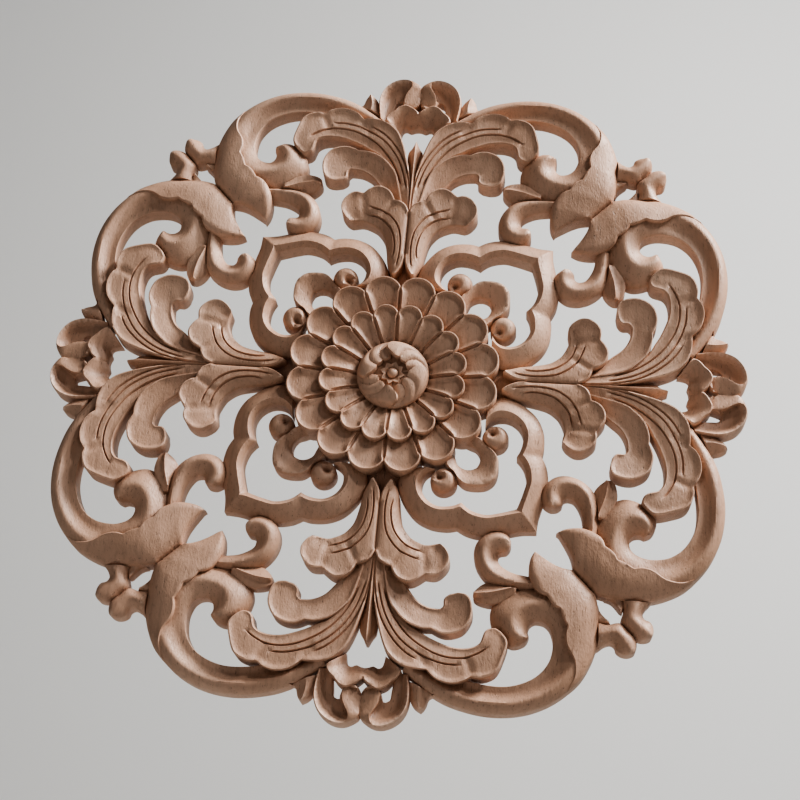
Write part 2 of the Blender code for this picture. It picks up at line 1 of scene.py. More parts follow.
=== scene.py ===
"""Carved wooden rosette: its finely cut mesh, its raw wood and the light that falls on it.

One wedge between the upright arm and the diagonal is drawn as overlapping shapes,
then turned and mirrored eight times. Plan lengths and heights are in millimetres.
"""

import math

import bpy
import numpy as np
from mathutils import Matrix, Vector
from mathutils.bvhtree import BVHTree
from mathutils.geometry import delaunay_2d_cdt
from mathutils.kdtree import KDTree


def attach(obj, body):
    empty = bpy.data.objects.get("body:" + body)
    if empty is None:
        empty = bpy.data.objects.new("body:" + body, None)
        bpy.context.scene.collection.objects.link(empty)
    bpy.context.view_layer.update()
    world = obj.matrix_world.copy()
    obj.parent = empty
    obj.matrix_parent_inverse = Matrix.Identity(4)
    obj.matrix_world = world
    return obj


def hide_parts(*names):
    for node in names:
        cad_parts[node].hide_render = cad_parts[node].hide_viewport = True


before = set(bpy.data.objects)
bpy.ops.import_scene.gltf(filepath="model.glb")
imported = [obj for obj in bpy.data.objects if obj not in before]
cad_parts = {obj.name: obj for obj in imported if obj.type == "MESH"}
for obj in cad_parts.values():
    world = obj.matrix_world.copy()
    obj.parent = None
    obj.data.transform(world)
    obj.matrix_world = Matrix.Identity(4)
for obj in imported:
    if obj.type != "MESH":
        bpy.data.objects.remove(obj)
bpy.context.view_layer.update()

MILLIMETRE = 0.001

# Reach of the wedge in plan, and heights below, within and above every part
INNER_REACH = 15
ARM_REACH = 200
DIAGONAL_REACH = 142
LOWEST_SURFACE = 4.0
MIDDLE_HEIGHT = 12
ABOVE_ALL = 100

# Rounded edges, raised lips and cut veins
EDGE_ROUNDING = 0.8
LIP_TOP = 0.8
LIP_SLOPE = 2.0
VEIN_HALF_WIDTH = 0.7
VEIN_DEPTH = 1.5
GROOVE_TAPER = 4.5
GROOVE_FULLNESS = 0.8

# Petals: a narrow bead round a bowl, and a trough between neighbours
PETALS = 16
BEAD_WIDTH = 0.8
BEAD_SLOPE = 0.35
BEAD_DROP = 0.55
TROUGH_WIDTH = 1.25
TROUGH_BRIM = 0.4
TROUGH_WALL = 0.45
TROUGH_DEPTH = 1.5
TROUGH_FADE = 3

# Boss: swirl leaves round a hollow with a star and a ball; profiles pair a share with a value
BOSS_RADIUS = 20.2
BOSS_RIM_HEIGHT = 11.4
SWIRL_LEAVES = 4
SWIRL_FLUTES = 3
SWIRL_HEAD = -17.0
SWIRL_OUTER_BEND = 17
SWIRL_INNER_BEND = 7
SWIRL_LAG = 0.26
SWIRL_BODY = (
    (0, BOSS_RIM_HEIGHT), (0.06, 12.8), (0.2, 14.6), (0.42, 16.2), (0.7, 17.2), (0.9, 17.4), (1, 17.3),
)
SWIRL_STEP = ((0, -1.5), (0.012, 0.4), (0.03, 1.4), (0.12, 1.45), (0.6, 0.0), (1, -1.5))
HOLLOW_HEIGHT = 13.6
SCALLOP_DEPTH = 0.9
HOLLOW_EDGE = ((0, 11.8), (0.15, 10.4), (0.5, 9.3), (1, 9.4))
HOLLOW_WALL = ((0.1, 0.985), (0.8, 0.975), (1.0, 0.95))

# Star rings are radius, spike and rise above the hollow; ball rings are radius and height
STAR_POINTS = 8
STAR_SIDES = 96
STAR_TURN = 12
STAR_RINGS = ((6.1, 0.9, 0.0), (5.9, 0.9, 0.9), (5.2, 0.8, 0.9), (4.0, 0.2, 0.2))
BALL_RINGS = ((3.1, 12.9), (3.0, 14.1), (2.6, 15.0), (1.9, 15.7), (1.0, 16.2))
BALL_TOP = 16.3

# Fineness of the mesh
SPACING = 1.45
EDGE_STEP = 1.15
SHORTEST_EDGE = 0.45
SMALLEST_STEP = 0.05
SEAM_CLEARANCE = 0.3
DIAGONAL_CLEARANCE = 0.4
CURVE_CUTS = 24
STATION_CUTS = 10
ACROSS_POINTS = 25
RIM_COLUMNS = 160
SHARP_ANGLE = 42
FAR_AWAY = 1e9

# Wood: linear colours of the wood, a painted shade for crevices and a painted highlight for rims, and noise
# cells per metre across, through and along the grain
WOOD_DARK = (0.56, 0.34, 0.23)
WOOD_MIDDLE = (0.62, 0.39, 0.275)
WOOD_PALE = (0.68, 0.45, 0.325)
# Painted shade: darker colour laid into crevices and grooves, where shadow falls
PAINTED_CREVICE_SHADE = (0.50, 0.42, 0.36)
# Painted highlight: pale colour laid on the sharp outward rims of the carved face, where light catches them
PAINTED_EDGE_HIGHLIGHT = (0.90, 0.68, 0.54)
CLOUD_SCALE = (22, 22, 7)
STREAK_SCALE = (420, 420, 11)
PORE_SCALE = (1500, 1500, 210)
GLOSS_SCALE = (160, 160, 30)
SANDING_SCALE = (1050, 1050, 480)
CHISEL_SCALE = (170, 170, 120)

# Camera, as found from the photograph: millimetres, radians, and a focal length in its pixels
CAMERA_DISTANCE = 855.5
CAMERA_FOCAL_PIXELS = 1527.1
PICTURE_PIXELS = 800
SENSOR = 36.0
TILT_X, TILT_Y, TILT_Z = -0.3927, -0.0676, -0.0904
AIM_X, AIM_Y = -3.70, 12.24
FACE_PLANE = 6.5

# Surroundings, in metres
STAGE_SIZE = 8.0
STAGE_COLOUR = (0.8, 0.79, 0.77)
BACKDROP_DISTANCE = 1.3
FLOOR_LEVEL = -1.6
ROOM_LIGHT = 0.105


def cubic(f, start, end, leaving, arriving):
    """Curve from start to end that leaves and arrives at these slopes, read at f from 0 to 1."""
    return (
        start * (2 * f**3 - 3 * f**2 + 1)
        + leaving * (f**3 - 2 * f**2 + f)
        + end * (3 * f**2 - 2 * f**3)
        + arriving * (f**3 - f**2)
    )


def spline(points, places, corners=()):
    """Smooth run through the points, read at places from 0 to n - 1; it bends sharply at corners."""
    points = np.asarray(points, float)
    last = len(points) - 1
    ends = set(corners) | {0, last}
    step = np.diff(points, axis=0)
    leaving = step.copy()
    arriving = step.copy()
    for k in range(1, last):
        if k not in ends:
            leaving[k] = arriving[k - 1] = (points[k + 1] - points[k - 1]) / 2
    for k in range(last):
        if k in ends and k + 1 not in ends:
            leaving[k] = 1.5 * step[k] - 0.5 * arriving[k]
        if k + 1 in ends and k not in ends:
            arriving[k] = 1.5 * step[k] - 0.5 * leaving[k]
    k = np.minimum(np.asarray(places).astype(int), last - 1)
    f = (np.asarray(places) - k)[:, None]
    return cubic(f, points[k], points[k + 1], leaving[k], arriving[k])


def evenly(points, corners=()):
    """The spline through the points, cut into steps of nearly equal length between corners."""
    last = len(points) - 1
    marks = sorted({0, last} | set(corners))
    pieces = []
    for start, end in zip(marks, marks[1:]):
        places = np.linspace(start, end, CURVE_CUTS * (end - start) + 1)
        even = resample(spline(points, places, corners))
        pieces.append(even if end == last else even[:-1])
    return np.concatenate(pieces)


def smooth_between(x, xs, ys):
    """Smooth interpolation that never overshoots its values."""
    xs = np.asarray(xs, float)
    ys = np.asarray(ys, float)
    if len(xs) == 1:
        return np.full(len(x), ys[0])
    gap = np.diff(xs)
    slope = np.diff(ys) / gap
    lean = np.zeros(len(xs))
    if len(xs) > 2:
        same = slope[1:] * slope[:-1] > 0
        both = 2 * slope[1:] * slope[:-1] / np.where(same, slope[1:] + slope[:-1], 1)
        lean[1:-1] = np.where(same, both, 0)
    lean[0] = 1.5 * slope[0] - 0.5 * lean[1]
    lean[-1] = 1.5 * slope[-1] - 0.5 * lean[-2]
    x = np.clip(x, xs[0], xs[-1])
    k = np.clip(np.searchsorted(xs, x, side="right") - 1, 0, len(xs) - 2)
    f = (x - xs[k]) / gap[k]
    return cubic(f, ys[k], ys[k + 1], lean[k] * gap[k], lean[k + 1] * gap[k])


def inside(outline, points):
    """Which of the points lie inside the closed outline."""
    x, y = points[:, 0], points[:, 1]
    found = np.zeros(len(points), bool)
    for (ax, ay), (bx, by) in zip(outline, np.roll(outline, -1, axis=0)):
        crossing = (ay > y) != (by > y)
        if crossing.any():
            side = (bx - ax) * (y[crossing] - ay) / (by - ay) + ax
            found[crossing] ^= x[crossing] < side
    return found


def distance_to(line, points):
    """Distance from each point to a run of straight pieces."""
    start, end = line[:-1], line[1:]
    along = end - start
    length = np.maximum((along**2).sum(axis=1), 1e-12)
    best = np.full(len(points), FAR_AWAY)
    block_size = 2000
    for block in range(0, len(points), block_size):
        part = points[block:block + block_size]
        offset = part[:, None] - start[None]
        share = np.clip((offset * along).sum(axis=2) / length, 0, 1)
        away = offset - share[:, :, None] * along
        best[block:block + block_size] = np.sqrt((away**2).sum(axis=2).min(axis=1))
    return best


def closed(loop):
    return np.concatenate([loop, loop[:1]])


def snap_to_seams(points, reach=0.05):
    """Points that nearly touch the arm's middle or the diagonal are put on it."""
    points = np.array(points, float)
    x, y = points[..., 0], points[..., 1]
    x[np.abs(x) < reach] = 0
    near = np.abs(x - y) < reach
    middle = (x[near] + y[near]) / 2
    x[near] = middle
    y[near] = middle
    return points


def polar(radius, degrees):
    """Plan point at this angle from the arm, turning towards the diagonal."""
    angle = np.radians(degrees)
    return np.stack([radius * np.sin(angle), radius * np.cos(angle)], axis=-1)


class Shape:
    """Part of the ornament: an outline, the surface over it and the lines carved in it."""

    def __init__(self, layer, outline, surface, creases=(), grooves=(), waves=(), soft_seam=False,
                 rounding=EDGE_ROUNDING, lip=0.0, insets=()):
        self.layer = layer
        self.outline = snap_to_seams(outline)
        self.surface = surface
        self.creases = creases
        self.grooves = grooves
        self.waves = waves
        self.rounding = rounding
        self.lip = lip
        self.soft_seam = soft_seam
        self.edge = closed(self.outline)
        self.insets = (0.3 * rounding, rounding) + insets
        if lip:
            self.insets += (LIP_TOP + 0.5 * LIP_SLOPE,)

    def depth_from_edge(self, points, soft_seam):
        """Distance in from the free edge; a middle line that two halves share doesn't count."""
        start, end = self.edge[:-1], self.edge[1:]
        on_seam = (start[:, 0] == 0) & (end[:, 0] == 0)
        on_seam |= (start[:, 0] == start[:, 1]) & (end[:, 0] == end[:, 1])
        if soft_seam or not on_seam.any():
            return distance_to(self.edge, points)
        best = np.full(len(points), FAR_AWAY)
        pieces = np.split(np.arange(len(start)), np.flatnonzero(np.diff(on_seam.astype(int))) + 1)
        for piece in pieces:
            if not on_seam[piece[0]]:
                best = np.minimum(best, distance_to(self.edge[piece[0]:piece[-1] + 2], points))
        return best

    def height(self, points):
        """Surface at the points, with its veins, waves, lip and rounded edge."""
        level = self.surface(points)
        for line, half_width, depth in self.grooves:
            reach = distance_to(line, points) / half_width
            ends = [np.linalg.norm(points - end, axis=1) for end in (line[0], line[-1])]
            fade = np.clip(np.minimum(*ends) / GROOVE_TAPER, 0, 1)
            level = level - depth * fade * np.clip(1 - reach, 0, 1) ** GROOVE_FULLNESS
        for line, half_width, lift in self.waves:
            reach = np.clip(distance_to(line, points) / half_width, 0, 1)
            level = level + lift * (0.5 + 0.5 * np.cos(math.pi * reach))
        if self.lip:
            depth = self.depth_from_edge(points, False)
            share = np.clip((depth - LIP_TOP) / LIP_SLOPE, 0, 1)
            level = level + self.lip * (1 - share) ** 2
        if self.rounding:
            depth = np.clip(self.depth_from_edge(points, self.soft_seam), 0, self.rounding)
            level = level - (self.rounding - np.sqrt(self.rounding**2 - (self.rounding - depth)**2))
        return np.maximum(level, LOWEST_SURFACE)


def beside(line, distance):
    """Two lines that run along a line at a distance."""
    ahead = np.gradient(line, axis=0)
    ahead /= np.linalg.norm(ahead, axis=1)[:, None]
    side = np.stack([-ahead[:, 1], ahead[:, 0]], axis=1)
    return [line + distance * side, line - distance * side]


def surface_of(grid):
    """Height reader for a sheet of points, carried on a little past its edges."""
    side_margin = 0.04
    end_margin = 0.3
    left = grid[:, :1] - side_margin * (grid[:, 3:4] - grid[:, :1])
    right = grid[:, -1:] + side_margin * (grid[:, -1:] - grid[:, -4:-3])
    wide = np.concatenate([left, grid, right], axis=1)
    first = wide[:1] - end_margin * (wide[1:2] - wide[:1])
    final = wide[-1:] + end_margin * (wide[-1:] - wide[-2:-1])
    trees = [tree_of(grid), tree_of(np.concatenate([first, wide, final]))]

    def read(points):
        found = np.empty(len(points))
        for k, (x, y) in enumerate(points):
            place = None
            for tree in trees:
                place = tree.ray_cast(Vector((x, y, ABOVE_ALL)), Vector((0, 0, -1)))[0]
                if place:
                    break
            if place is None:
                place = trees[0].find_nearest(Vector((x, y, MIDDLE_HEIGHT)))[0]
            found[k] = place.z
        return found

    return read


def tree_of(grid):
    """Search tree of the triangles over a sheet of points."""
    rows, columns = grid.shape[:2]
    corners = [Vector(point) for point in grid.reshape(-1, 3)]
    faces = []
    for i in range(rows - 1):
        for j in range(columns - 1):
            k = i * columns + j
            faces.append((k, k + 1, k + columns + 1))
            faces.append((k, k + columns + 1, k + columns))
    return BVHTree.FromPolygons(corners, faces)


def strip(layer, stations, rails, notch_a=(), notch_b=(), crests=(), **looks):
    """Ribbon between two edges; rails across it carry the heights, and crests stay sharp."""
    edge_a = [station[0] for station in stations]
    edge_b = [station[1] for station in stations]
    count = len(stations)
    places = np.linspace(0, count - 1, STATION_CUTS * (count - 1) + 1)
    a = spline(edge_a, places, notch_a)
    b = spline(edge_b, places, notch_b)
    share = places / places[-1]
    where = np.array([along(rail[0], share) for rail in rails]).T
    level = np.array([along(rail[1], share) for rail in rails]).T
    across = np.linspace(0, 1, ACROSS_POINTS)
    marks = sorted({0, len(rails) - 1} | set(crests))
    sheet = np.empty((len(places), len(across), 3))
    sheet[:, :, :2] = a[:, None] + (b - a)[:, None] * across[None, :, None]
    for k in range(len(places)):
        for start, end in zip(marks, marks[1:]):
            part = (across >= where[k, start] - 1e-9) & (across <= where[k, end] + 1e-9)
            span = slice(start, end + 1)
            sheet[k, part, 2] = smooth_between(across[part], where[k, span], level[k, span])
    outline = np.concatenate([
        evenly(edge_a, notch_a), straight(edge_a[-1], edge_b[-1])[1:-1],
        evenly(edge_b, notch_b)[::-1], straight(edge_b[0], edge_a[0])[1:-1],
    ])
    creases = []
    for rail in crests:
        creases.append(resample(a + (b - a) * where[:, rail:rail + 1]))
    return Shape(layer, thin_out(outline), surface_of(sheet), creases=creases, **looks)


def along(values, share):
    """Values given evenly along a strip, read at these shares of its length."""
    values = np.atleast_1d(np.asarray(values, float))
    return smooth_between(share, np.linspace(0, 1, len(values)), values)


def straight(start, end):
    """Points on the straight run between two points."""
    start, end = np.asarray(start, float), np.asarray(end, float)
    count = max(1, round(np.linalg.norm(end - start) / EDGE_STEP))
    return start + (end - start) * np.linspace(0, 1, count + 1)[:, None]


def resample(line):
    """The line again, in steps of nearly equal length."""
    steps = np.linalg.norm(np.diff(line, axis=0), axis=1)
    travelled = np.concatenate([[0], np.cumsum(steps)])
    goals = np.linspace(0, travelled[-1], max(2, round(travelled[-1] / EDGE_STEP) + 1))
    return np.stack([np.interp(goals, travelled, line[:, k]) for k in range(2)], axis=1)


def thin_out(loop):
    """The loop without points that lie too near the one before."""
    kept = [loop[0]]
    for point in loop[1:]:
        if math.dist(point, kept[-1]) > SHORTEST_EDGE:
            kept.append(point)
    if math.dist(kept[0], kept[-1]) < SHORTEST_EDGE:
        kept.pop()
    return np.array(kept)


def groove(points):
    """Vein cut along a smooth line through the points."""
    return evenly(points), VEIN_HALF_WIDTH, VEIN_DEPTH


def ring(centre, radius):
    """Points round a circle."""
    sides = max(8, round(2 * math.pi * radius / EDGE_STEP))
    turn = np.arange(sides) * 2 * math.pi / sides
    return np.array(centre) + radius * np.stack([np.cos(turn), np.sin(turn)], axis=1)


def disc(layer, centre, radius, profile, eye):
    """Round knob: its profile runs from the middle out, and its eye is a round dimple."""
    shares, levels = zip(*profile)
    eye_centre, eye_radius, eye_depth = eye

    def read(points):
        away = np.linalg.norm(points - np.array(centre), axis=1) / radius
        level = smooth_between(away, shares, levels)
        share = np.clip(np.linalg.norm(points - np.array(eye_centre), axis=1) / eye_radius, 0, 1)
        return level - eye_depth * (0.5 + 0.5 * np.cos(math.pi * share))

    return Shape(layer, ring(centre, radius), read)


def petal(layer, middle, start, ball_centre, ball_radius, rim, floor, ramp):
    """Spoon-shaped petal: straight sides on its two boundary rays, then a round end."""
    half = 180 / PETALS
    sine, cosine = math.sin(math.radians(half)), math.cos(math.radians(half))
    notch = ball_centre * cosine + math.sqrt(ball_radius**2 - (ball_centre * sine)**2)
    widest = math.atan2(notch * sine, notch * cosine - ball_centre)
    side = np.linspace(start, notch, round((notch - start) / EDGE_STEP) + 1)
    turns = np.linspace(widest, -widest, round(2 * widest * ball_radius / EDGE_STEP) + 1)[1:-1]
    end = np.stack([-ball_radius * np.sin(turns), ball_centre + ball_radius * np.cos(turns)], axis=1)
    swing = math.radians(middle)
    turned = np.stack([end[:, 0] * math.cos(swing) + end[:, 1] * math.sin(swing),
                       end[:, 1] * math.cos(swing) - end[:, 0] * math.sin(swing)], axis=1)
    left = polar(side, middle - half)
    right = polar(side, middle + half)
    outline = np.concatenate([left, turned, right[::-1], straight(right[0], left[0])[1:-1]])
    rim_line = snap_to_seams(np.concatenate([left, turned, right[::-1]]))

    def read(points):
        away = np.linalg.norm(points, axis=1)
        beside_neighbour = np.clip((notch - away) / TROUGH_FADE, 0, 1)
        deep = distance_to(rim_line, points) - (TROUGH_WIDTH - TROUGH_BRIM) * beside_neighbour
        share = np.clip((deep - BEAD_WIDTH) / ramp, 0, 1)
        share = share * (2 - share)
        top = smooth_between(away, *zip(*rim))
        bottom = np.minimum(smooth_between(away, *zip(*floor)), top)
        bead = np.clip((deep - BEAD_WIDTH) / BEAD_SLOPE, 0, 1) * np.minimum(BEAD_DROP, top - bottom)
        trough = TROUGH_DEPTH * beside_neighbour * np.clip((TROUGH_BRIM - deep) / TROUGH_WALL, 0, 1)
        return top - bead + (bottom + bead - top) * share - trough

    return Shape(layer, outline, read, soft_seam=True, rounding=0.5,
                 insets=(BEAD_WIDTH, TROUGH_WIDTH, TROUGH_WIDTH + TROUGH_WALL))


def leaves():
    """Veined and plain acanthus leaves that grow out of the flower along the arm."""
    low = strip(6, [
        ((5, 61), (6.2, 61)), ((0.6, 69), (9.6, 68.8)), ((0, 80), (11, 77.5)), ((0, 93), (13.2, 86.5)),
        ((0, 103), (17, 92)), ((3, 108), (20, 94.2)), ((9, 110.5), (23, 95.6)),
        ((13, 116.6), (24.8, 96.3)), ((20, 118.6), (26.6, 96.6)), ((27.5, 114), (28.4, 96.5)),
        ((34, 113.7), (30, 96.2)), ((38.9, 108.6), (31, 96)), ((39.7, 103), (32, 95.8)),
        ((37, 98.3), (33, 95.7)), ((34.3, 96.2), (34, 95.9)),
    ], [(0, (12, 13, 14, 14, 12.5)), (0.25, (13, 13.8, 13.4, 13.2, 12.2)),
        (0.6, (12.5, 13.4, 12.6, 12.2, 11.8)), (1, (8, 8.5, 9, 9.5, 10))],
        notch_a=(4, 6, 9), soft_seam=True, rounding=0.9, lip=0.8,
        grooves=[groove([(4.6, 66), (3.2, 76), (3.6, 86), (6.2, 94), (13, 101.5), (25, 106)]),
                 groove([(7.4, 71), (6.4, 80), (9, 90.5), (16, 98), (26, 101)])],
        waves=[(evenly([(9, 110.5), (11, 106), (15, 100)]), 3.0, -0.9),
               (evenly([(27.5, 114), (27, 108), (26, 102)]), 3.5, -0.9)])
    middle = strip(5, [
        ((4.2, 106.5), (12, 102)), ((9.2, 127), (16.2, 116)), ((14, 134.5), (20, 121.7)),
        ((20, 139.8), (24.6, 127)), ((27, 142.3), (30.5, 130.1)), ((33, 142.4), (36.8, 130.8)),
        ((39, 144.8), (38.4, 129.4)), ((44.8, 144.4), (38.5, 127.9)), ((50.2, 141.5), (38.4, 126.4)),
        ((53.7, 135), (38.9, 125.1)), ((53.5, 128), (39.7, 124.2)), ((50.9, 123.3), (40.7, 123.5)),
        ((45.6, 122.1), (41.7, 122.9)),
    ], [(0, (11, 12.5, 13.2, 13.6, 12)), (0.3, (10.3, 11.4, 12, 12.6, 11.6)),
        (0.7, (9, 9.8, 10.6, 11.4, 11.2)), (1, (7.5, 8.5, 9.5, 10.5, 11))],
        notch_a=(5,), notch_b=(5,), rounding=0.9, lip=1.0)
    top = strip(4, [
        ((0.2, 100), (7, 98)), ((1.6, 125), (10.5, 124)), ((4.6, 140), (15, 134)),
        ((9.6, 153.8), (21, 140.4)), ((15, 160.2), (27.5, 144)),
        ((22, 163.6), (33, 147)), ((32.4, 164.2), (40.2, 149.8)),
        ((38, 168.8), (44.6, 151)), ((45, 170.5), (48.9, 151.4)), ((51, 169.4), (53, 151.1)),
        ((55.8, 166.4), (56.6, 150)), ((62, 166.4), (59.1, 148)), ((68.2, 163), (60, 145.5)),
        ((71.6, 155), (60.8, 142.6)), ((73.2, 147), (62.2, 140.7)), ((70, 142), (64, 139.8)),
        ((66.5, 139.5), (65.5, 139.4)),
    ], [(0, (11, 14, 14.8, 15.4, 11.8)), (0.2, (11.5, 13.4, 13.8, 14.9, 11.6)),
        (0.6, (11, 13, 13.6, 14.4, 11.4)), (1, (9, 10.5, 11.5, 13, 10.8))],
        notch_a=(6, 10), rounding=0.9, lip=0.8,
        grooves=[groove([(1.2, 117), (4.4, 133), (10.5, 145), (18.5, 154), (28, 159.6)]),
                 groove([(3, 118), (8, 135), (16.6, 148), (28, 156), (40, 160.2), (51, 160.4)]),
                 groove([(6, 120), (11.4, 134), (20.6, 146), (32, 153.6), (42, 156.8), (52, 156.6),
                         (60, 153), (64, 149.5)])],
        waves=[(evenly([(32.4, 164.2), (31.4, 160.5), (28, 157)]), 3.5, -0.9),
               (evenly([(55.8, 166.4), (55.2, 162), (53, 158)]), 3.5, -0.9)])
    spike = strip(3, [
        ((0, 100), (2.4, 100)), ((0, 130), (4, 130)), ((0, 144), (4.4, 144)), ((0, 148), (2.5, 148)),
        ((0, 152), (0.6, 152)),
    ], [(0, (13, 13, 11)), (1, (8, 8, 8))])
    return {"leaf_low": low, "leaf_middle": middle, "leaf_top": top, "spike": spike}


def scrolls():
    """The large scroll round each corner, its husk, bud and the two tendrils."""
    scroll = strip(2, [
        ((20, 165), (24, 157)), ((38, 177.2), (42, 163)), ((54, 182.4), (56, 168)),
        ((70, 183.8), (70, 169.4)), ((86, 181), (80.5, 167.4)),
        ((100.3, 173.6), (89.5, 162.3)), ((111.5, 162.2), (95.1, 154.5)),
        ((118, 147.2), (96.6, 145)), ((118, 131), (95, 138.4)), ((110, 118), (92.4, 135.1)),
        ((94, 114), (89.7, 134)), ((78, 116.3), (86.5, 134)), ((67.5, 122.3), (84.3, 135.5)),
        ((63, 131), (83.4, 137.4)), ((66.3, 141.5), (83.2, 139.1)), ((74.5, 147.7), (83.2, 140)),
        ((81.4, 146.1), (83.7, 141.2)), ((84, 141.8), (84, 141.5)),
    ], [(0, (9, 9, 9, 8, 7, 7.5, 8.6)), (0.12, (11, 11.6, 11.4, 9.5, 9, 9.6, 9)),
        (0.36, (11.8, 13.3, 13.2, 13.4, 12.2, 13, 9.6)), (0.56, (10.2, 10.8, 11.2, 14.4, 14.2, 14.4, 9.8)),
        (0.78, (9.2, 9.5, 9.8, 13.4, 12.2, 12.6, 9.4)), (1, (9.6, 10.6, 10.6, 10.4, 9, 8.8, 8.8))])
    husk = strip(5, [
        ((105.3, 169), (106.2, 168.7)), ((108.2, 161), (112.2, 162)), ((107.5, 153.5), (117, 152.4)),
        ((103.8, 147), (119.6, 143)), ((102.6, 141.5), (119.6, 136)), ((103.4, 136.5), (119.4, 130)),
        ((101, 132.2), (119, 125)), ((99.3, 127.8), (118, 120)), ((95.5, 125.6), (117, 117)),
        ((92.2, 121.1), (113, 113)), ((86.5, 118.2), (109, 109)), ((82.2, 110), (105, 105)),
        ((82.2, 101), (96.8, 103.2)), ((84.6, 95.2), (85.6, 96.6)),
    ], [(0, (10, 13.6, 15.4, 15.8, 15.2, 11, 6.5)), (0.13, (10, 14, 15.9, 16.4, 15.8, 14.2, 8)),
        (0.35, (9.4, 13.4, 15.5, 16.2, 15.8, 14, 8.6)), (0.65, (8.8, 12, 14, 15, 14.8, 13.4, 8.6)),
        (0.88, (8.4, 9.8, 11, 12.6, 12.6, 11.8, 8)), (1, (8, 7.6, 8, 9.4, 9.8, 9.4, 6.5))],
        notch_a=(5, 7, 9), notch_b=(8, 11), soft_seam=True, rounding=0.7, lip=0.5)
    bud = strip(3, [
        ((76, 120), (76, 113)), ((66, 126.2), (66, 113)), ((59, 126.3), (59.3, 114.6)),
        ((54.2, 124.2), (55.6, 117.3)), ((53.6, 120.4), (53.9, 119.6)),
    ], [(0, (9.5, 9.6, 9)), ((0.5, 0.4, 0.24, 0.16, 0.2), (11.2, 9.4, 8.6)),
        ((0.54, 0.5, 0.46, 0.44, 0.44), (12, 12, 10.2)), (1, (7, 7, 7))], crests=(1, 2))
    tendril = strip(3.5, [
        ((88, 117), (88, 110)), ((78, 117), (80, 109.2)), ((69, 116.6), (74, 108.2)),
        ((60.5, 113.9), (69, 106)), ((55, 108), (66, 103.6)), ((52.5, 101.5), (65.2, 101.3)),
        ((52.5, 96), (65.2, 100)), ((54.3, 91.6), (65.5, 98.9)), ((58.5, 87.7), (66.3, 98)),
        ((64, 86), (67.6, 97.7)), ((69, 87.4), (69.4, 97.3)), ((71.3, 90.5), (71, 95.6)),
        ((71.7, 92.6), (71.6, 93.6)),
    ], [(0, (8, 8, 8.4, 8.4, 8.4, 8.5, 8.4)), (0.14, (9.4, 9.8, 10.6, 10.8, 10.8, 10.4, 8.6)),
        (0.4, (11, 12, 13, 13, 13.2, 13.4, 9)), (0.75, (9.5, 10, 10.2, 10.4, 11.2, 12.4, 9)),
        (1, (7.6, 7.6, 7.6, 7.6, 8.4, 9, 8.8))])
    outer_tendril = strip(3, [
        ((112, 150), (114, 130)), ((119.2, 146.2), (118.5, 131)), ((122.7, 143.4), (124, 132.3)),
        ((126, 142.1), (130.4, 131)), ((128.4, 143.4), (134.6, 134.6)), ((129.2, 145.8), (138.6, 138.6)),
        ((131.4, 147.4), (139.6, 142.5)), ((134, 148), (138.8, 146)), ((136, 147.8), (137, 147.4)),
    ], [(0, (7, 7.4, 8, 8.4, 8.6)), (0.2, (9.5, 10, 10.4, 9.6, 9)), (0.5, (10.5, 12, 12.4, 12, 10)),
        (0.8, (9, 10.6, 11, 11.4, 9.6)), (1, (7, 7.6, 8, 8.4, 8.6))])
    small_bud = strip(1, [
        ((117, 133), (119, 122)), ((121, 132.6), (120.4, 126)), ((125.6, 131.6), (124.8, 130.2)),
    ], [(0, 7), (0.5, 9), (1, 7)])
    return {
        "scroll": scroll, "husk": husk, "bud": bud, "tendril": tendril,
        "outer_tendril": outer_tendril, "small_bud": small_bud,
    }


def framework():
    """Mitred frame across each diagonal, the inner strap and its volute."""
    frame_band = strip(3, [
        ((84.8, 84.8), (73.5, 73.5)), ((77, 85.4), (69.4, 74.9)), ((69, 87.3), (63.9, 76.5)),
        ((58, 89.4), (57, 77.8)), ((48.8, 88.4), (49.2, 75.9)), ((42, 85.2), (43.7, 71.7)),
        ((36, 86.3), (38.5, 74)), ((27.5, 85.4), (31.5, 74.6)), ((19.4, 81.5), (25.9, 72.1)),
        ((13.2, 74.6), (22.3, 67.6)), ((9.2, 67), (21.3, 62.5)), ((8.5, 61), (23, 57.2)),
        ((11, 54), (28, 53.5)),
    ], [(0, 7.6), (0.76, 13.6), (1, 10.6)], notch_a=(5,), notch_b=(5,), crests=(1,))
    strap = strip(2, [
        ((59.2, 59.2), (50.3, 50.3)), ((55.7, 61.4), (47, 51.8)), ((50, 62.2), (43.3, 51.5)),
        ((44, 61.3), (39.9, 49.3)), ((39, 57), (38.4, 45.8)), ((33, 50), (36.4, 41)),
    ], [(0, 9.5), (0.12, 11.4), (0.3, 10.6), (1, 7.4)])
    volute = disc(3.2, (33, 59.4), 7.3, ((0, 12), (0.45, 11.9), (0.8, 10.4), (1, 7.4)),
                  eye=((30.6, 57.6), 3.9, 4.6))
    return {"frame": frame_band, "strap": strap, "volute": volute}


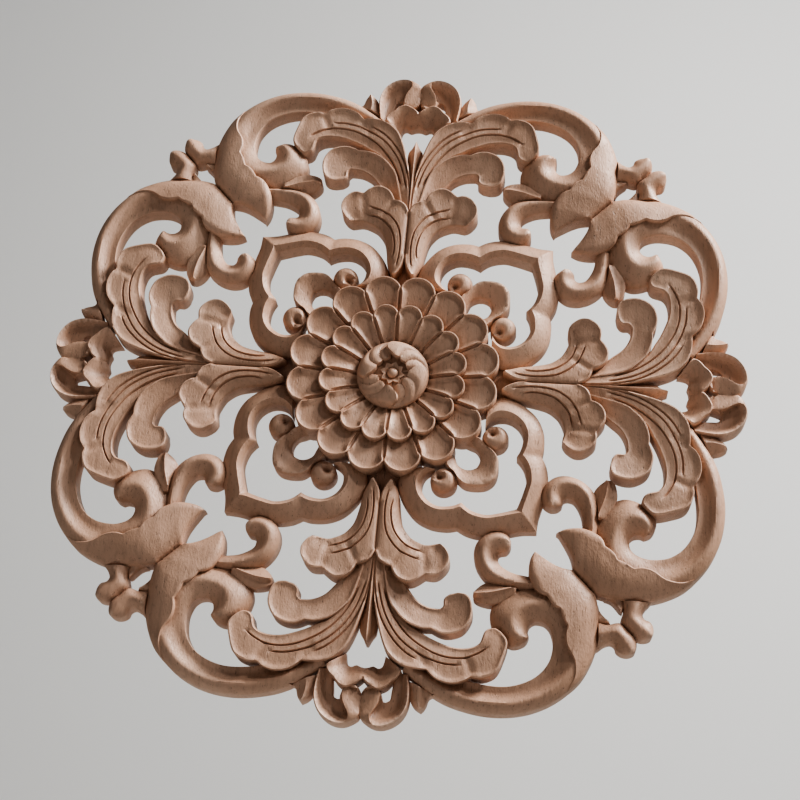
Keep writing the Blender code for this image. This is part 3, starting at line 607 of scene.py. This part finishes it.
def crown():
    """Curled frond at the end of the arm and its turned-in tip, with a lobed leaf and a pointed bud."""
    curl = strip(2.5, [
        ((23.4, 167), (17.2, 165)), ((24.8, 176), (15.8, 171.5)), ((24.4, 183), (15.2, 176)),
        ((21.2, 189.6), (14.8, 179.7)), ((15.2, 194), (13, 181)), ((8.6, 195), (12, 181.2)),
        ((2.8, 192.5), (11.4, 181.1)), ((0, 189), (11.2, 181)), ((0, 179.5), (11, 180.4)),
        ((1.2, 176), (10.9, 179.8)), ((4.4, 173.6), (10.7, 179.4)), ((9, 174), (10.5, 179)),
    ], [(0, (10, 10.5, 10.4, 10.4, 9.8)), (0.1, (11.4, 12.4, 12.2, 12.2, 11.4)),
        (0.26, (9.6, 9.4, 9.2, 11.4, 11.6)), (0.55, (8.4, 6.6, 7.2, 10.4, 11.2)),
        (1, (8.4, 6.2, 6.2, 9.8, 10.8))])
    leaf = strip(3, [
        ((19.6, 165), (10.3, 157)), ((18.4, 168.4), (9.8, 160.6)), ((15, 171.5), (8.9, 163)),
        ((12, 174.7), (7, 163.8)), ((8, 176), (5.6, 163.1)), ((4, 174.2), (4.1, 162.7)),
        ((1.8, 172.6), (2.2, 163.5)), ((0, 170.8), (0, 163.9)),
    ], [(0, 12), (0.15, 12.2), (0.5, 9.8), (1, 4.6)], notch_a=(2,), rounding=0.7, lip=0.8, soft_seam=True)
    pointed = strip(2, [
        ((22, 169), (38, 176)), ((24.3, 177.2), (34.7, 177.4)), ((27, 182.2), (33.3, 181.6)),
        ((31, 184.8), (31.4, 184.6)),
    ], [(0, 7.6), (0.45, (11.4, 10.6)), (1, 7.6)], crests=(1,))
    curl_end = strip(2.7, [
        ((6.6, 193.9), (5.0, 193.2)), ((5.7, 190.8), (2.4, 191.8)), ((6.2, 188.4), (0, 189.2)),
        ((7.8, 185.6), (0, 186)), ((9.4, 182), (0, 182.4)), ((9.8, 178), (0, 179.5)),
        ((8.8, 175), (1.3, 176.2)),
    ], [(0, (11.5, 12.6, 12.6, 11.8, 11)), (0.5, (11.4, 12, 11.4, 10.8, 10.4)),
        (1, (11.2, 11.2, 10, 9.6, 9.8))], rounding=0.5)
    return {"curl": curl, "curl_end": curl_end, "crown_leaf": leaf, "pointed_bud": pointed}


def flower():
    """Two rings of petals round the boss, which this wedge only borders."""
    parts = {}
    for k in range(2):
        middle = 180 / PETALS * (2 * k + 1)
        parts[f"outer_petal_{k}"] = petal(
            7, middle, start=33, ball_centre=49, ball_radius=10.6,
            rim=((34, 12.5), (44, 14.8), (52, 16.4), (60, 16.7)),
            floor=((34, 11), (44, 12.9), (52, 14.2), (60, 14.6)), ramp=3.2)
        parts[f"inner_petal_{k}"] = petal(
            8, middle, start=18, ball_centre=34.2, ball_radius=7.3,
            rim=((18, 9.8), (21, 11), (25, 13.2), (33, 16), (41, 17)),
            floor=((18, 9.2), (21, 10.2), (26, 12.2), (34, 14.4), (41, 15.2)), ramp=2.2)
    turns = np.linspace(0, 45, RIM_COLUMNS // 8 + 1)
    boss_edge = np.concatenate([[(0, 0)], polar(BOSS_RADIUS, turns)])
    parts["boss"] = Shape(9, boss_edge, level_surface(BOSS_RIM_HEIGHT), rounding=0)
    parts["pit"] = Shape(0.5, [(0, 50), (9, 50), (9, 68), (4, 72), (0, 76)], level_surface(5.5), rounding=0)
    return parts


def level_surface(height):
    """Surface at one height all over."""
    return lambda points: np.full(len(points), height)


def wedge_parts():
    """Every shape of the wedge by name."""
    parts = {}
    for group in (leaves(), scrolls(), framework(), crown(), flower()):
        parts.update(group)
    return parts


class Points:
    """Points already placed, and the lines that join them."""

    def __init__(self):
        self.places = []
        self.lines = []

    def add_run(self, line, keep):
        """Adds the pieces of a line whose two ends are both kept."""
        number = {}
        for k in range(len(line) - 1):
            if not (keep[k] and keep[k + 1]):
                continue
            for end in (k, k + 1):
                if end not in number:
                    number[end] = len(self.places)
                    self.places.append(tuple(line[end]))
            self.lines.append((number[k], number[k + 1]))


def place_lines(parts):
    """Outlines, then rounding lines, crests and veins, less what a higher part covers."""
    cloud = Points()
    for part in parts.values():
        shown = ~covered(parts, part, part.edge)
        # A piece stays when either end shows, so that it reaches the edge that covers it
        wide = shown.copy()
        wide[1:] |= shown[:-1]
        wide[:-1] |= shown[1:]
        cloud.add_run(part.edge, wide)
    for name, part in parts.items():
        if name in ("boss", "pit"):
            continue
        for distance in part.insets:
            line = inset(part, distance)
            cloud.add_run(line, usable(parts, part, line, from_edge=0.95 * distance))
        for line in part.creases:
            cloud.add_run(line, usable(parts, part, line, from_edge=0.3))
        for line, half_width, _ in part.grooves:
            for run in [line] + beside(line, half_width):
                cloud.add_run(run, usable(parts, part, run, from_edge=0.5))
    return cloud


def covered(parts, part, points, margin=0.0):
    """Which points lie under a part that is higher than this one."""
    hidden = np.zeros(len(points), bool)
    for other in parts.values():
        if other.layer > part.layer:
            hidden |= inside(other.outline, points)
            if margin:
                hidden |= distance_to(other.edge, points) < margin
    return hidden


def usable(parts, part, line, from_edge):
    """Points inside this part and the wedge that are clear of edges and of higher parts."""
    good = inside(part.outline, line) & ~covered(parts, part, line, margin=0.3)
    good &= distance_to(part.edge, line) > from_edge
    good &= (line[:, 0] > SEAM_CLEARANCE) & (line[:, 1] - line[:, 0] > DIAGONAL_CLEARANCE)
    return good


def inset(part, distance):
    """The part's outline moved inwards."""
    loop = part.outline
    area = (loop[:, 0] * np.roll(loop[:, 1], -1) - loop[:, 1] * np.roll(loop[:, 0], -1)).sum()
    ahead = np.roll(loop, -1, axis=0) - np.roll(loop, 1, axis=0)
    ahead /= np.maximum(np.linalg.norm(ahead, axis=1), 1e-9)[:, None]
    inward = np.stack([-ahead[:, 1], ahead[:, 0]], axis=1) * (1 if area > 0 else -1)
    return closed(loop + distance * inward)


def fill_points(parts, cloud):
    """Even points over the rest of every part, and along the two seams."""
    tree = KDTree(len(cloud.places))
    for k, (x, y) in enumerate(cloud.places):
        tree.insert((x, y, 0), k)
    tree.balance()
    rows = np.arange(INNER_REACH, ARM_REACH, SPACING * math.sqrt(0.75))
    grid = [(0.0, y) for y in np.arange(BOSS_RADIUS + 1, ARM_REACH, SPACING)]
    grid += [(r, r) for r in np.arange(INNER_REACH, DIAGONAL_REACH, SPACING * math.sqrt(0.5))]
    for k, y in enumerate(rows):
        for x in np.arange(SPACING / 4 * (1 + 2 * (k % 2)), min(y, DIAGONAL_REACH), SPACING):
            if y - x > 0.5 * SPACING:
                grid.append((x, y))
    grid = np.array(grid)
    off_the_seams = np.array((1e-3, 2e-3))
    names = owners(parts, grid + off_the_seams)
    clear_of_lines = 0.72 * SPACING
    for (x, y), name in zip(grid, names):
        if name not in ("", "boss") and tree.find((x, y, 0))[2] > clear_of_lines:
            cloud.places.append((x, y))


def owners(parts, centres):
    """The highest part at each centre, or an empty name over a gap."""
    names = np.full(len(centres), "", dtype=object)
    for name, part in sorted(parts.items(), key=lambda item: item[1].layer):
        names[inside(part.outline, centres)] = name
    return names


def triangulate(points, lines):
    """Triangles that keep every line, with the points after welding."""
    weld = 1e-3
    result = delaunay_2d_cdt([Vector(point) for point in points], lines, [], 0, weld, False)
    corners = snap_to_seams(np.array([tuple(point) for point in result[0]]), 5 * weld)
    faces = np.array([face for face in result[2] if len(set(face)) == 3])
    return corners, faces


class Mesh:
    """Points and triangles, with points that coincide shared."""

    def __init__(self):
        self.index = {}
        self.points = []
        self.faces = []

    def vertex(self, point):
        key = tuple(round(float(value), 4) + 0.0 for value in point)
        if key not in self.index:
            self.index[key] = len(self.points)
            self.points.append(key)
        return self.index[key]

    def triangle(self, points):
        face = tuple(self.vertex(point) for point in points)
        if len(set(face)) == 3:
            self.faces.append(face)


def wedge_mesh(parts):
    """Tops, walls and flat back of one wedge."""
    cloud = place_lines(parts)
    fill_points(parts, cloud)
    far = 260.0
    for end in ((0.0, far), (far / 1.5, far / 1.5)):
        cloud.lines.append((len(cloud.places), len(cloud.places) + 1))
        cloud.places.extend([(0.0, 0.0), end])
    corners, faces = triangulate(cloud.places, cloud.lines)
    centres = corners[faces].mean(axis=1)
    names = owners(parts, centres)
    kept = (centres[:, 0] > 0) & (centres[:, 0] < centres[:, 1]) & (names != "")
    solid = {tuple(int(v) for v in faces[k]): names[k] for k in np.flatnonzero(kept)}
    tops = surface_heights(parts, corners, solid)
    mesh = Mesh()
    for face, name in solid.items():
        if name != "boss":
            mesh.triangle([(*corners[v], tops[v][name]) for v in face])
    add_walls(mesh, corners, solid, tops)
    add_back(mesh, parts, corners, solid)
    return mesh


def surface_heights(parts, corners, solid):
    """Height of each part at each corner; a part never dips below the one beneath it."""
    members = {}
    for face, name in solid.items():
        for v in face:
            members.setdefault(name, set()).add(v)
    around = {}
    for name in sorted(members, key=lambda n: parts[n].layer):
        indices = sorted(members[name])
        levels = parts[name].height(corners[indices])
        for v, level in zip(indices, levels):
            tops = around.setdefault(v, {})
            below = max(tops.values(), default=0.0)
            level = float(level)
            tops[name] = round(below if below and level < below + SMALLEST_STEP else level, 4)
    return around


def add_walls(mesh, corners, solid, tops):
    """Upright faces where the height changes between neighbours or falls to the back."""
    sides = {}
    for face, name in solid.items():
        for v, w in zip(face, face[1:] + face[:1]):
            sides[v, w] = name
    open_corners = set()
    borders = []
    for (v, w), name in sides.items():
        other = sides.get((w, v))
        on_seam = corners[v][0] == corners[w][0] == 0
        on_seam |= corners[v][0] == corners[v][1] and corners[w][0] == corners[w][1]
        if other == name or (other is None and on_seam):
            continue
        if other is None:
            open_corners |= {v, w}
        borders.append((v, w, name, other))
    for v, w, name, other in borders:
        low_v = tops[v][other] if other else 0.0
        low_w = tops[w][other] if other else 0.0
        if tops[v][name] + tops[w][name] <= low_v + low_w:
            continue
        column_v = column(tops[v], v in open_corners, low_v, tops[v][name])
        column_w = column(tops[w], w in open_corners, low_w, tops[w][name])
        zip_columns(mesh, corners[v], column_v, corners[w], column_w)


def column(heights, reaches_back, low, high):
    """All heights in use at a corner between low and high."""
    values = set(heights.values())
    if reaches_back:
        values.add(0.0)
    return sorted(value for value in values if min(low, high) <= value <= max(low, high))


def zip_columns(mesh, base_v, column_v, base_w, column_w):
    """Triangles between two upright columns; the solid lies to the left of v to w."""
    i = j = 0
    while i < len(column_v) - 1 or j < len(column_w) - 1:
        low_v = (*base_v, column_v[i])
        low_w = (*base_w, column_w[j])
        climb_v = j == len(column_w) - 1
        if i < len(column_v) - 1 and not climb_v:
            climb_v = column_v[i + 1] <= column_w[j + 1]
        if climb_v:
            i += 1
            mesh.triangle([low_v, low_w, (*base_v, column_v[i])])
        else:
            j += 1
            mesh.triangle([low_v, low_w, (*base_w, column_w[j])])


def add_back(mesh, parts, corners, solid):
    """Flat back, triangulated from the outer borders alone."""
    sides = set()
    for face in solid:
        sides |= set(zip(face, face[1:] + face[:1]))
    rim = [(v, w) for v, w in sides if (w, v) not in sides]
    used = sorted({v for side in rim for v in side})
    place = {v: k for k, v in enumerate(used)}
    on_seam = {v: corners[v][0] == 0 or corners[v][0] == corners[v][1] for v in used}
    points = [corners[v] for v in used]
    lines = [(place[v], place[w]) for v, w in rim if not (on_seam[v] and on_seam[w])]
    upwards = sorted(used, key=lambda v: corners[v][1])
    arm_seam = [v for v in upwards if corners[v][0] == 0]
    diagonal_seam = [v for v in upwards if corners[v][0] == corners[v][1]]
    for seam in (arm_seam, diagonal_seam):
        lines += [(place[v], place[w]) for v, w in zip(seam, seam[1:])]
    flat, faces = triangulate(points, lines)
    centres = flat[faces].mean(axis=1)
    names = owners(parts, centres)
    for k, face in enumerate(faces):
        if 0 < centres[k][0] < centres[k][1] and names[k] != "":
            mesh.triangle([(*flat[v], 0.0) for v in face[::-1]])


def swirl_ring(depth, shares):
    """One ring of the swirl leaves; depth runs from the rim to the hollow, shares across each leaf."""
    outer_bend = SWIRL_OUTER_BEND * max(0.0, 1 - 2 * depth) ** 1.6
    inner_bend = SWIRL_INNER_BEND * max(0.0, 2 * depth - 1) ** 2
    bend = outer_bend + inner_bend
    body = smooth_between(np.array([depth]), *zip(*SWIRL_BODY))[0]
    spread = min(1.0, 5 * depth)
    phase = SWIRL_FLUTES * (shares - SWIRL_LAG * (1 - depth))
    lobe = np.where(phase < 0.5, 1.0, np.abs(np.sin(math.pi * phase)) ** 0.7)
    flute_depth = 0.8 + 0.6 * depth
    step = smooth_between(shares, *zip(*SWIRL_STEP))
    scallop = SCALLOP_DEPTH * np.abs(np.sin(SWIRL_FLUTES * math.pi * shares)) ** 0.8
    edge = smooth_between(shares, *zip(*HOLLOW_EDGE)) - scallop
    radius = BOSS_RADIUS + (edge - BOSS_RADIUS) * depth
    level = body + spread * (step - flute_depth * (1 - lobe))
    ring = []
    for leaf in range(SWIRL_LEAVES):
        turns = SWIRL_HEAD + 360 / SWIRL_LEAVES * (leaf + shares) + bend
        ring += [(*polar(r, t), h) for r, t, h in zip(radius, turns, level)]
    return ring


def add_boss(mesh):
    """Top of the boss: overlapping swirl leaves round a hollow with a small star and a ball."""
    # Places read across a leaf and inwards, closer where the surface turns quickly
    shares = np.concatenate([(0, 0.012, 0.03, 0.055), np.linspace(0.08, 0.985, 50)])
    depths = np.concatenate([(0.03, 0.07, 0.12), np.linspace(0.18, 0.92, 15), (0.96, 0.985, 1.0)])
    leaves = [swirl_ring(depth, shares) for depth in depths]
    edge = leaves[-1]
    for drop, keep in HOLLOW_WALL:
        leaves.append([(x * keep, y * keep, h + (HOLLOW_HEIGHT - h) * drop) for x, y, h in edge])
    sew_rings(mesh, boss_rim(mesh), leaves[0])
    for outer, inner in zip(leaves, leaves[1:]):
        weave_rings(mesh, outer, inner)
    rings = [leaves[-1]]
    turns = np.arange(STAR_SIDES) * 360 / STAR_SIDES
    beats = turns / (360 / STAR_POINTS)
    for radius, spike, rise in STAR_RINGS:
        jagged = radius + spike * (4 * np.abs(beats % 1 - 0.5) - 1)
        rings.append([(*polar(r, t), HOLLOW_HEIGHT + rise) for r, t in zip(jagged, turns + STAR_TURN)])
    for radius, level in BALL_RINGS:
        rings.append([(*polar(radius, t), level) for t in turns[::3]])
    for outer, inner in zip(rings, rings[1:]):
        sew_rings(mesh, outer, inner)
    last = rings[-1]
    for a, b in zip(last, last[1:] + last[:1]):
        mesh.triangle([a, (0.0, 0.0, BALL_TOP), b])


def weave_rings(mesh, outer, inner):
    """Triangles between two rings with matching corners, split along the shorter diagonal."""
    for a, b, c, d in zip(outer, outer[1:] + outer[:1], inner[1:] + inner[:1], inner):
        if math.dist(a, c) < math.dist(b, d):
            mesh.triangle([a, c, b])
            mesh.triangle([a, d, c])
        else:
            mesh.triangle([a, d, b])
            mesh.triangle([b, d, c])


def boss_rim(mesh):
    """Corners of the open rim round the boss, in turning order."""
    found = []
    slack = 0.01
    nearest = BOSS_RADIUS * math.cos(math.pi / RIM_COLUMNS) - slack
    for x, y, h in mesh.points:
        if abs(h - BOSS_RIM_HEIGHT) < 1e-6 and nearest < math.hypot(x, y) < BOSS_RADIUS + slack:
            found.append((x, y, h))
    return sorted(found, key=bearing)


def bearing(point):
    """Degrees that a point lies round from the upright arm."""
    return math.degrees(math.atan2(point[0], point[1])) % 360


def sew_rings(mesh, outer, inner):
    """Triangles between two rings about the middle, taken in turning order."""
    base = bearing(outer[0])
    offsets = [(bearing(point) - base + 180) % 360 - 180 for point in inner]
    start = min(range(len(inner)), key=lambda k: abs(offsets[k]))
    inner = inner[start:] + inner[:start]
    turn_out = [(bearing(point) - base) % 360 for point in outer] + [360.0]
    turn_in = [offsets[start]] + [(bearing(point) - base) % 360 for point in inner[1:]]
    turn_in.append(turn_in[0] + 360)
    i = j = 0
    while i < len(outer) or j < len(inner):
        a, c = outer[i % len(outer)], inner[j % len(inner)]
        if j == len(inner) or (i < len(outer) and turn_out[i + 1] <= turn_in[j + 1]):
            i += 1
            mesh.triangle([a, c, outer[i % len(outer)]])
        else:
            j += 1
            mesh.triangle([a, c, inner[j % len(inner)]])


def rosette_mesh():
    """Eight wedges, every second one mirrored, closed in the middle by the boss."""
    wedge = wedge_mesh(wedge_parts())
    whole = Mesh()
    for quarter in range(4):
        for mirrored in (False, True):
            number = []
            for x, y, h in wedge.points:
                if mirrored:
                    x, y = y, x
                for _ in range(quarter):
                    x, y = y, -x
                number.append(whole.vertex((x, y, h)))
            for face in wedge.faces:
                ordered = face[::-1] if mirrored else face
                whole.faces.append(tuple(number[v] for v in ordered))
    add_boss(whole)
    return whole


def noise_node(tree, place, scale, detail):
    """Noise over the object's own coordinates, stretched by the scale along each axis."""
    mapping = tree.nodes.new("ShaderNodeMapping")
    mapping.inputs["Scale"].default_value = scale
    noise = tree.nodes.new("ShaderNodeTexNoise")
    noise.inputs["Scale"].default_value = 1.0
    noise.inputs["Detail"].default_value = detail
    tree.links.new(place.outputs["Object"], mapping.inputs["Vector"])
    tree.links.new(mapping.outputs["Vector"], noise.inputs["Vector"])
    return noise.outputs["Fac"]


def ramp_node(tree, value, stops):
    """Colour ramp with stops of place and grey or colour."""
    ramp = tree.nodes.new("ShaderNodeValToRGB")
    ends = ramp.color_ramp.elements
    while len(ends) < len(stops):
        ends.new(0.5)
    for element, (place, colour) in zip(ends, stops):
        element.position = place
        element.color = (*colour, 1) if isinstance(colour, tuple) else (colour, colour, colour, 1)
    tree.links.new(value, ramp.inputs["Fac"])
    return ramp.outputs["Color"]


def mix_node(tree, kind, share, first, second):
    """Colours mixed by a fixed share or by another value."""
    mix = tree.nodes.new("ShaderNodeMix")
    mix.data_type = "RGBA"
    mix.blend_type = kind
    for socket, value in (("Factor", share), ("A", first), ("B", second)):
        target = [s for s in mix.inputs if s.name == socket and s.enabled][0]
        if isinstance(value, bpy.types.NodeSocket):
            tree.links.new(value, target)
        else:
            target.default_value = value
    return [s for s in mix.outputs if s.enabled][0]


def bump_node(tree, height, strength, distance, under=None):
    """Surface tilted by a height, on top of another bump where one is given."""
    bump = tree.nodes.new("ShaderNodeBump")
    bump.inputs["Strength"].default_value = strength
    bump.inputs["Distance"].default_value = distance
    tree.links.new(height, bump.inputs["Height"])
    if under is not None:
        tree.links.new(under, bump.inputs["Normal"])
    return bump.outputs["Normal"]


def front_node(tree, geometry):
    """How far a facet looks along -Y: 1 on the carved face, 0 on upright walls, below 0 on the back."""
    facing = tree.nodes.new("ShaderNodeSeparateXYZ")
    tree.links.new(geometry.outputs["True Normal"], facing.inputs["Vector"])
    turned = tree.nodes.new("ShaderNodeMath")
    turned.operation = "MULTIPLY"
    turned.inputs[1].default_value = -1
    tree.links.new(facing.outputs["Y"], turned.inputs[0])
    return turned.outputs["Value"]


def wood_material():
    """Raw pale hardwood, matt: upright grain and fine pores, with painted shade that darkens the crevices
    and a painted highlight that pales the sharp rims of the carved face.
    """
    material = bpy.data.materials.new("raw_wood")
    material.use_nodes = True
    tree = material.node_tree
    shader = tree.nodes["Principled BSDF"]
    place = tree.nodes.new("ShaderNodeTexCoord")
    geometry = tree.nodes.new("ShaderNodeNewGeometry")
    pointiness = geometry.outputs["Pointiness"]

    cloud = noise_node(tree, place, CLOUD_SCALE, detail=3)
    tone = ramp_node(tree, cloud, [(0.3, WOOD_DARK), (0.52, WOOD_MIDDLE), (0.72, WOOD_PALE)])
    streaks = noise_node(tree, place, STREAK_SCALE, detail=4)
    streaks = ramp_node(tree, streaks, [(0.3, 0.80), (0.5, 0.97), (0.7, 1.0)])
    tone = mix_node(tree, "MULTIPLY", 0.8, tone, streaks)
    pores = noise_node(tree, place, PORE_SCALE, detail=2)
    pores = ramp_node(tree, pores, [(0.27, 0.42), (0.37, 1.0)])
    tone = mix_node(tree, "MULTIPLY", 0.75, tone, pores)
    # Painted shade: where the surface folds inwards (low pointiness) the colour is darkened as if in shadow
    painted_crevice_shade = ramp_node(tree, pointiness, [(0.40, PAINTED_CREVICE_SHADE), (0.49, 1.0)])
    tone = mix_node(tree, "MULTIPLY", 1.0, tone, painted_crevice_shade)
    # Painted highlight: sharp outward rims (high pointiness) turn pale, only on facets that face the front,
    # not on walls or the back
    edges = ramp_node(tree, pointiness, [(0.55, 0.0), (0.62, 1.0)])
    on_face = ramp_node(tree, front_node(tree, geometry), [(0.15, 0.0), (0.4, 1.0)])
    edges = mix_node(tree, "MULTIPLY", 1.0, edges, on_face)
    tone = mix_node(tree, "MIX", edges, tone, (*PAINTED_EDGE_HIGHLIGHT, 1))
    tree.links.new(tone, shader.inputs["Base Color"])

    gloss = noise_node(tree, place, GLOSS_SCALE, detail=3)
    rough = ramp_node(tree, gloss, [(0.3, 0.42), (0.7, 0.6)])
    tree.links.new(rough, shader.inputs["Roughness"])

    facets = noise_node(tree, place, CHISEL_SCALE, detail=1)
    chiselled = bump_node(tree, facets, strength=0.14, distance=0.0008)
    scratches = noise_node(tree, place, SANDING_SCALE, detail=3)
    sanded = bump_node(tree, scratches, strength=0.5, distance=0.0005, under=chiselled)
    grain = mix_node(tree, "MULTIPLY", 0.5, pores, streaks)
    grained = bump_node(tree, grain, strength=0.7, distance=0.0003, under=sanded)
    tree.links.new(grained, shader.inputs["Normal"])
    return material


def add_object(name, data):
    """Object in the scene for this mesh, lamp or lens."""
    thing = bpy.data.objects.new(name, data)
    bpy.context.collection.objects.link(thing)
    return thing


def make_rosette():
    """The carving stands upright with its back on the plane y = 0 and faces -Y."""
    whole = rosette_mesh()
    data = bpy.data.meshes.new("carved_rosette")
    places = [(x * MILLIMETRE, -h * MILLIMETRE, y * MILLIMETRE) for x, y, h in whole.points]
    data.from_pydata(places, [], whole.faces)
    data.update()
    data.shade_smooth()
    data.set_sharp_from_angle(angle=math.radians(SHARP_ANGLE))
    data.materials.append(wood_material())
    rosette = add_object("carved_rosette", data)
    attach(rosette, "root")
    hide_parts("rosette")


def rotation(axis, angle):
    return Matrix.Rotation(angle, 3, axis)


def set_camera():
    """Camera from the tilts of the face, the point that it aims at and its distance."""
    turn = rotation("X", TILT_X) @ rotation("Y", TILT_Y) @ rotation("Z", TILT_Z)
    back = turn.transposed()
    centre = back @ Vector((-AIM_X, -AIM_Y, CAMERA_DISTANCE))
    centre.z += FACE_PLANE
    stand_up = Matrix(((1, 0, 0), (0, 0, -1), (0, 1, 0)))
    place = Matrix.Translation([value * MILLIMETRE for value in stand_up @ centre])
    lens = bpy.data.cameras.new("view")
    lens.sensor_width = SENSOR
    lens.lens = CAMERA_FOCAL_PIXELS / PICTURE_PIXELS * SENSOR
    lens.clip_start = 0.01
    camera = add_object("view", lens)
    camera.matrix_world = place @ (stand_up @ back).to_4x4()
    bpy.context.scene.camera = camera


def stage_plane(name, location, tilt):
    """Large matt square that isn't part of the object."""
    material = bpy.data.materials.new(name)
    material.use_nodes = True
    shader = material.node_tree.nodes["Principled BSDF"]
    shader.inputs["Base Color"].default_value = (*STAGE_COLOUR, 1)
    shader.inputs["Roughness"].default_value = 0.9
    half = STAGE_SIZE / 2
    corners = [(-half, -half, 0), (half, -half, 0), (half, half, 0), (-half, half, 0)]
    data = bpy.data.meshes.new(name)
    data.from_pydata(corners, [], [(0, 1, 2, 3)])
    data.materials.append(material)
    plane = add_object(name, data)
    plane.location = location
    plane.rotation_euler = (tilt, 0, 0)


def area_light(name, location, size, power):
    """Round soft lamp that looks at the middle of the carving."""
    data = bpy.data.lights.new(name, "AREA")
    data.shape = "DISK"
    data.size = size
    data.energy = power
    lamp = add_object(name, data)
    lamp.location = location
    lamp.rotation_euler = (-Vector(location)).to_track_quat("-Z", "Y").to_euler()


def set_stage():
    """Pale wall behind the carving, pale floor below, and soft light from the upper right."""
    stage_plane("backdrop", location=(0, BACKDROP_DISTANCE, 0), tilt=math.radians(90))
    stage_plane("floor", location=(0, 0, FLOOR_LEVEL), tilt=0)
    area_light("key", location=(1.10, -1.00, 1.28), size=0.25, power=9.5)
    area_light("graze", location=(1.25, -0.38, 1.45), size=0.6, power=54)
    area_light("fill", location=(-1.0, -1.5, -0.4), size=1.2, power=1.2)
    world = bpy.data.worlds.new("soft_room")
    world.use_nodes = True
    background = world.node_tree.nodes["Background"]
    background.inputs["Color"].default_value = (1, 1, 1, 1)
    background.inputs["Strength"].default_value = ROOM_LIGHT
    bpy.context.scene.world = world
    bpy.context.scene.view_settings.look = "AgX - High Contrast"


make_rosette()
set_camera()
set_stage()
